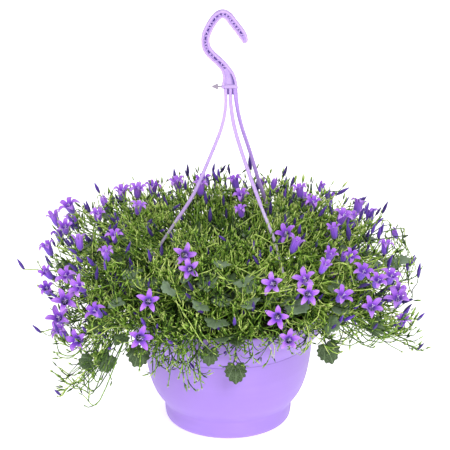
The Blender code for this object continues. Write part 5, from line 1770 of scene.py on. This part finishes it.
def add_arm(growth, arm, step, top_share, upper_finish, collar):
    """An arm of rounded, slightly flat section, thinner and rougher below its step, and its toe in the rim."""
    azimuth = arm[0]
    line = np.array([list(point) for point in arm_path(arm, 8)])
    level = np.array(outward(azimuth))
    ahead = unit(np.gradient(line, axis=0))
    side = unit(np.cross(ahead, level))
    face = np.cross(side, ahead)
    turn = turns_of(12)
    points = []
    for n, point in enumerate(line):
        wide, thick = BELOW_STEP if point[2] < step else ABOVE_STEP
        grow = 1 + (top_share - 1) * min(max((point[2] - TOP_FROM) / TOP_SPAN, 0), 1)
        if collar and abs(point[2] - step) < COLLAR_HALF:
            wide, thick, grow = *COLLAR, 1
        across, deep = soft_ring(turn, ARM_RADIUS * wide * grow, ARM_RADIUS * thick * grow, 0.65)
        points.append(point + side[n] * across[:, None] + face[n] * deep[:, None])
    faces = tube_faces(len(line), 12)[:, ::-1]
    # Rough plastic below the step, the arm's upper finish above it; finish 2 is the darker copy painted as
    # shade.
    finishes = np.where(np.repeat(line[:-1, 2], 24) < step + collar, 1, upper_finish)
    finishes = np.concatenate([finishes, np.full(len(faces) - len(finishes), 1)])
    growth.add(np.vstack(points), faces, finishes)
    inside = pot_inner(TOE_AT) - TOE_INSIDE
    beside = np.array(outward(azimuth + 90))
    shape = []
    for share, grow in TOE_ROWS:
        point = np.array(outward(azimuth) * (inside + (TOE_REACH - inside) * share) + UP * TOE_AT)
        across, deep = soft_ring(turn, TOE_WIDE / 2 * grow, TOE_HIGH / 2 * grow)
        shape.append(point + beside * across[:, None] + lifted(1.0) * deep[:, None])
    growth.add(np.vstack(shape), tube_faces(len(shape), 12))


def make_fine_barb(finish):
    """The arrow-shaped barb: a round stem and a flat pointed head."""
    growth = Growth()
    root, neck, tip = [np.array(BARB_AT + Vector((-out, 0, rise))) for out, rise in BARB]
    growth.tube(np.linspace(root, neck, 6), np.full(6, BARB_RADIUS), 12)
    turn = turns_of(16)
    points = []
    for share, radius in BARB_HEAD:
        at = neck + (tip - neck) * share
        ring = np.column_stack([0 * turn, np.cos(turn) * radius * BARB_FLAT, np.sin(turn) * radius])
        points.append(ring + at)
    growth.add(np.vstack(points), tube_faces(len(BARB_HEAD), 16)[:, ::-1])
    return growth.piece("fine_tag_barb", [finish])


def stand_for(piece, node):
    """Puts a fine piece in the place of its CAD node."""
    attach(piece, "root")
    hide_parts(node)


def make_stage():
    mesh = bpy.data.meshes.new("floor")
    ends = (-FLOOR_HALF, FLOOR_HALF)
    mesh.from_pydata([(x, y, 0) for y in ends for x in ends], [], [(0, 1, 3, 2)])
    floor = link("floor", mesh)
    glow = {"Emission_Color": (1, 1, 1, 1), "Emission_Strength": FLOOR_GLOW}
    look = Look("pale_floor", FLOOR_BASE, Roughness=0.9, Specular_IOR_Level=0.0, **glow)
    look.tree.links.new(look.ramp(look.spots(3, 2), FLOOR_SHADES), look.shader.inputs["Base Color"])
    mesh.materials.append(look.finish)


def make_light():
    world = bpy.data.worlds.new("studio")
    world.use_nodes = True
    nodes = Nodes(world.node_tree)
    rise = nodes.add("SeparateXYZ", {"Vector": nodes.add("TexCoord", {}, "Generated")}, "Z")
    sky = nodes.ramp(rise, WORLD_SHADES)
    world.node_tree.links.new(sky, world.node_tree.nodes["Background"].inputs["Color"])
    bpy.context.scene.world = world
    for name, place, size, power in LAMPS:
        data = bpy.data.lights.new(name, "AREA")
        data.shape = "SQUARE"
        data.size = size
        data.energy = power
        lamp = link(name, data)
        lamp.location = place
        lamp.rotation_euler = (Vector((0, 0, 0.2)) - Vector(place)).to_track_quat("-Z", "Y").to_euler()
    view = bpy.context.scene.view_settings
    view.view_transform = "Standard"
    view.look = "None"


def make_camera():
    """A camera so far off that its picture is as flat as the photograph, aimed at the picture's middle."""
    across = (FRAME_PX / 2 - AXIS_PX) * PIXEL
    lift = (BASE_PX - FRAME_PX / 2) * PIXEL
    data = bpy.data.cameras.new("camera")
    data.sensor_width = SENSOR
    data.lens = SENSOR * CAMERA_AWAY / (FRAME_PX * PIXEL)
    data.clip_end = 4 * CAMERA_AWAY
    camera = link("camera", data)
    camera.location = Vector((across, 0, lift / math.cos(VIEW_TILT))) + TO_VIEW * CAMERA_AWAY
    camera.rotation_euler = (-TO_VIEW).to_track_quat("-Z", "Y").to_euler()
    bpy.context.scene.camera = camera


def main():
    make_camera()
    make_light()
    make_stage()
    lilac, *hanger_finishes, pale = [plastic_finish(*row) for row in PLASTICS]
    stand_for(make_fine_pot(lilac), "pot")
    stand_for(make_fine_hanger(hanger_finishes), "hanger")
    stand_for(make_fine_barb(pale), "tag_barb")
    stand_for(make_fine_soil(soil_finish()), "soil")
    stem, tip, bud, style = [plant_finish(*row) for row in PLANT_FINISHES]
    outside, inside = [petal_finish(*row) for row in PETALS]
    finishes = [stem, tip, leaf_finish(), bud, outside, inside, style]
    shapes = Shapes(random.Random(SEED + 5))
    layout = Layout()
    kept = kept_clear(layout.blooms)
    for clump in layout.clumps:
        plant = Plant(shapes, kept, SEED * 1000 + int(clump.name[-2:]) + (100 if clump.inner else 0))
        plant.grow(clump, layout.blooms)
        stand_for(plant.piece("fine_" + clump.name, finishes), clump.name)
    for n, (base, axis, size, spin) in enumerate(layout.blooms[:BLOOM_NODES]):
        plant = Plant(shapes, kept, SEED + 50 + n)
        plant.bloom(np.array(base), axis, size, spin)
        stand_for(plant.piece(f"fine_bloom_{n + 1:02d}", finishes), f"bloom_{n + 1:02d}")


main()
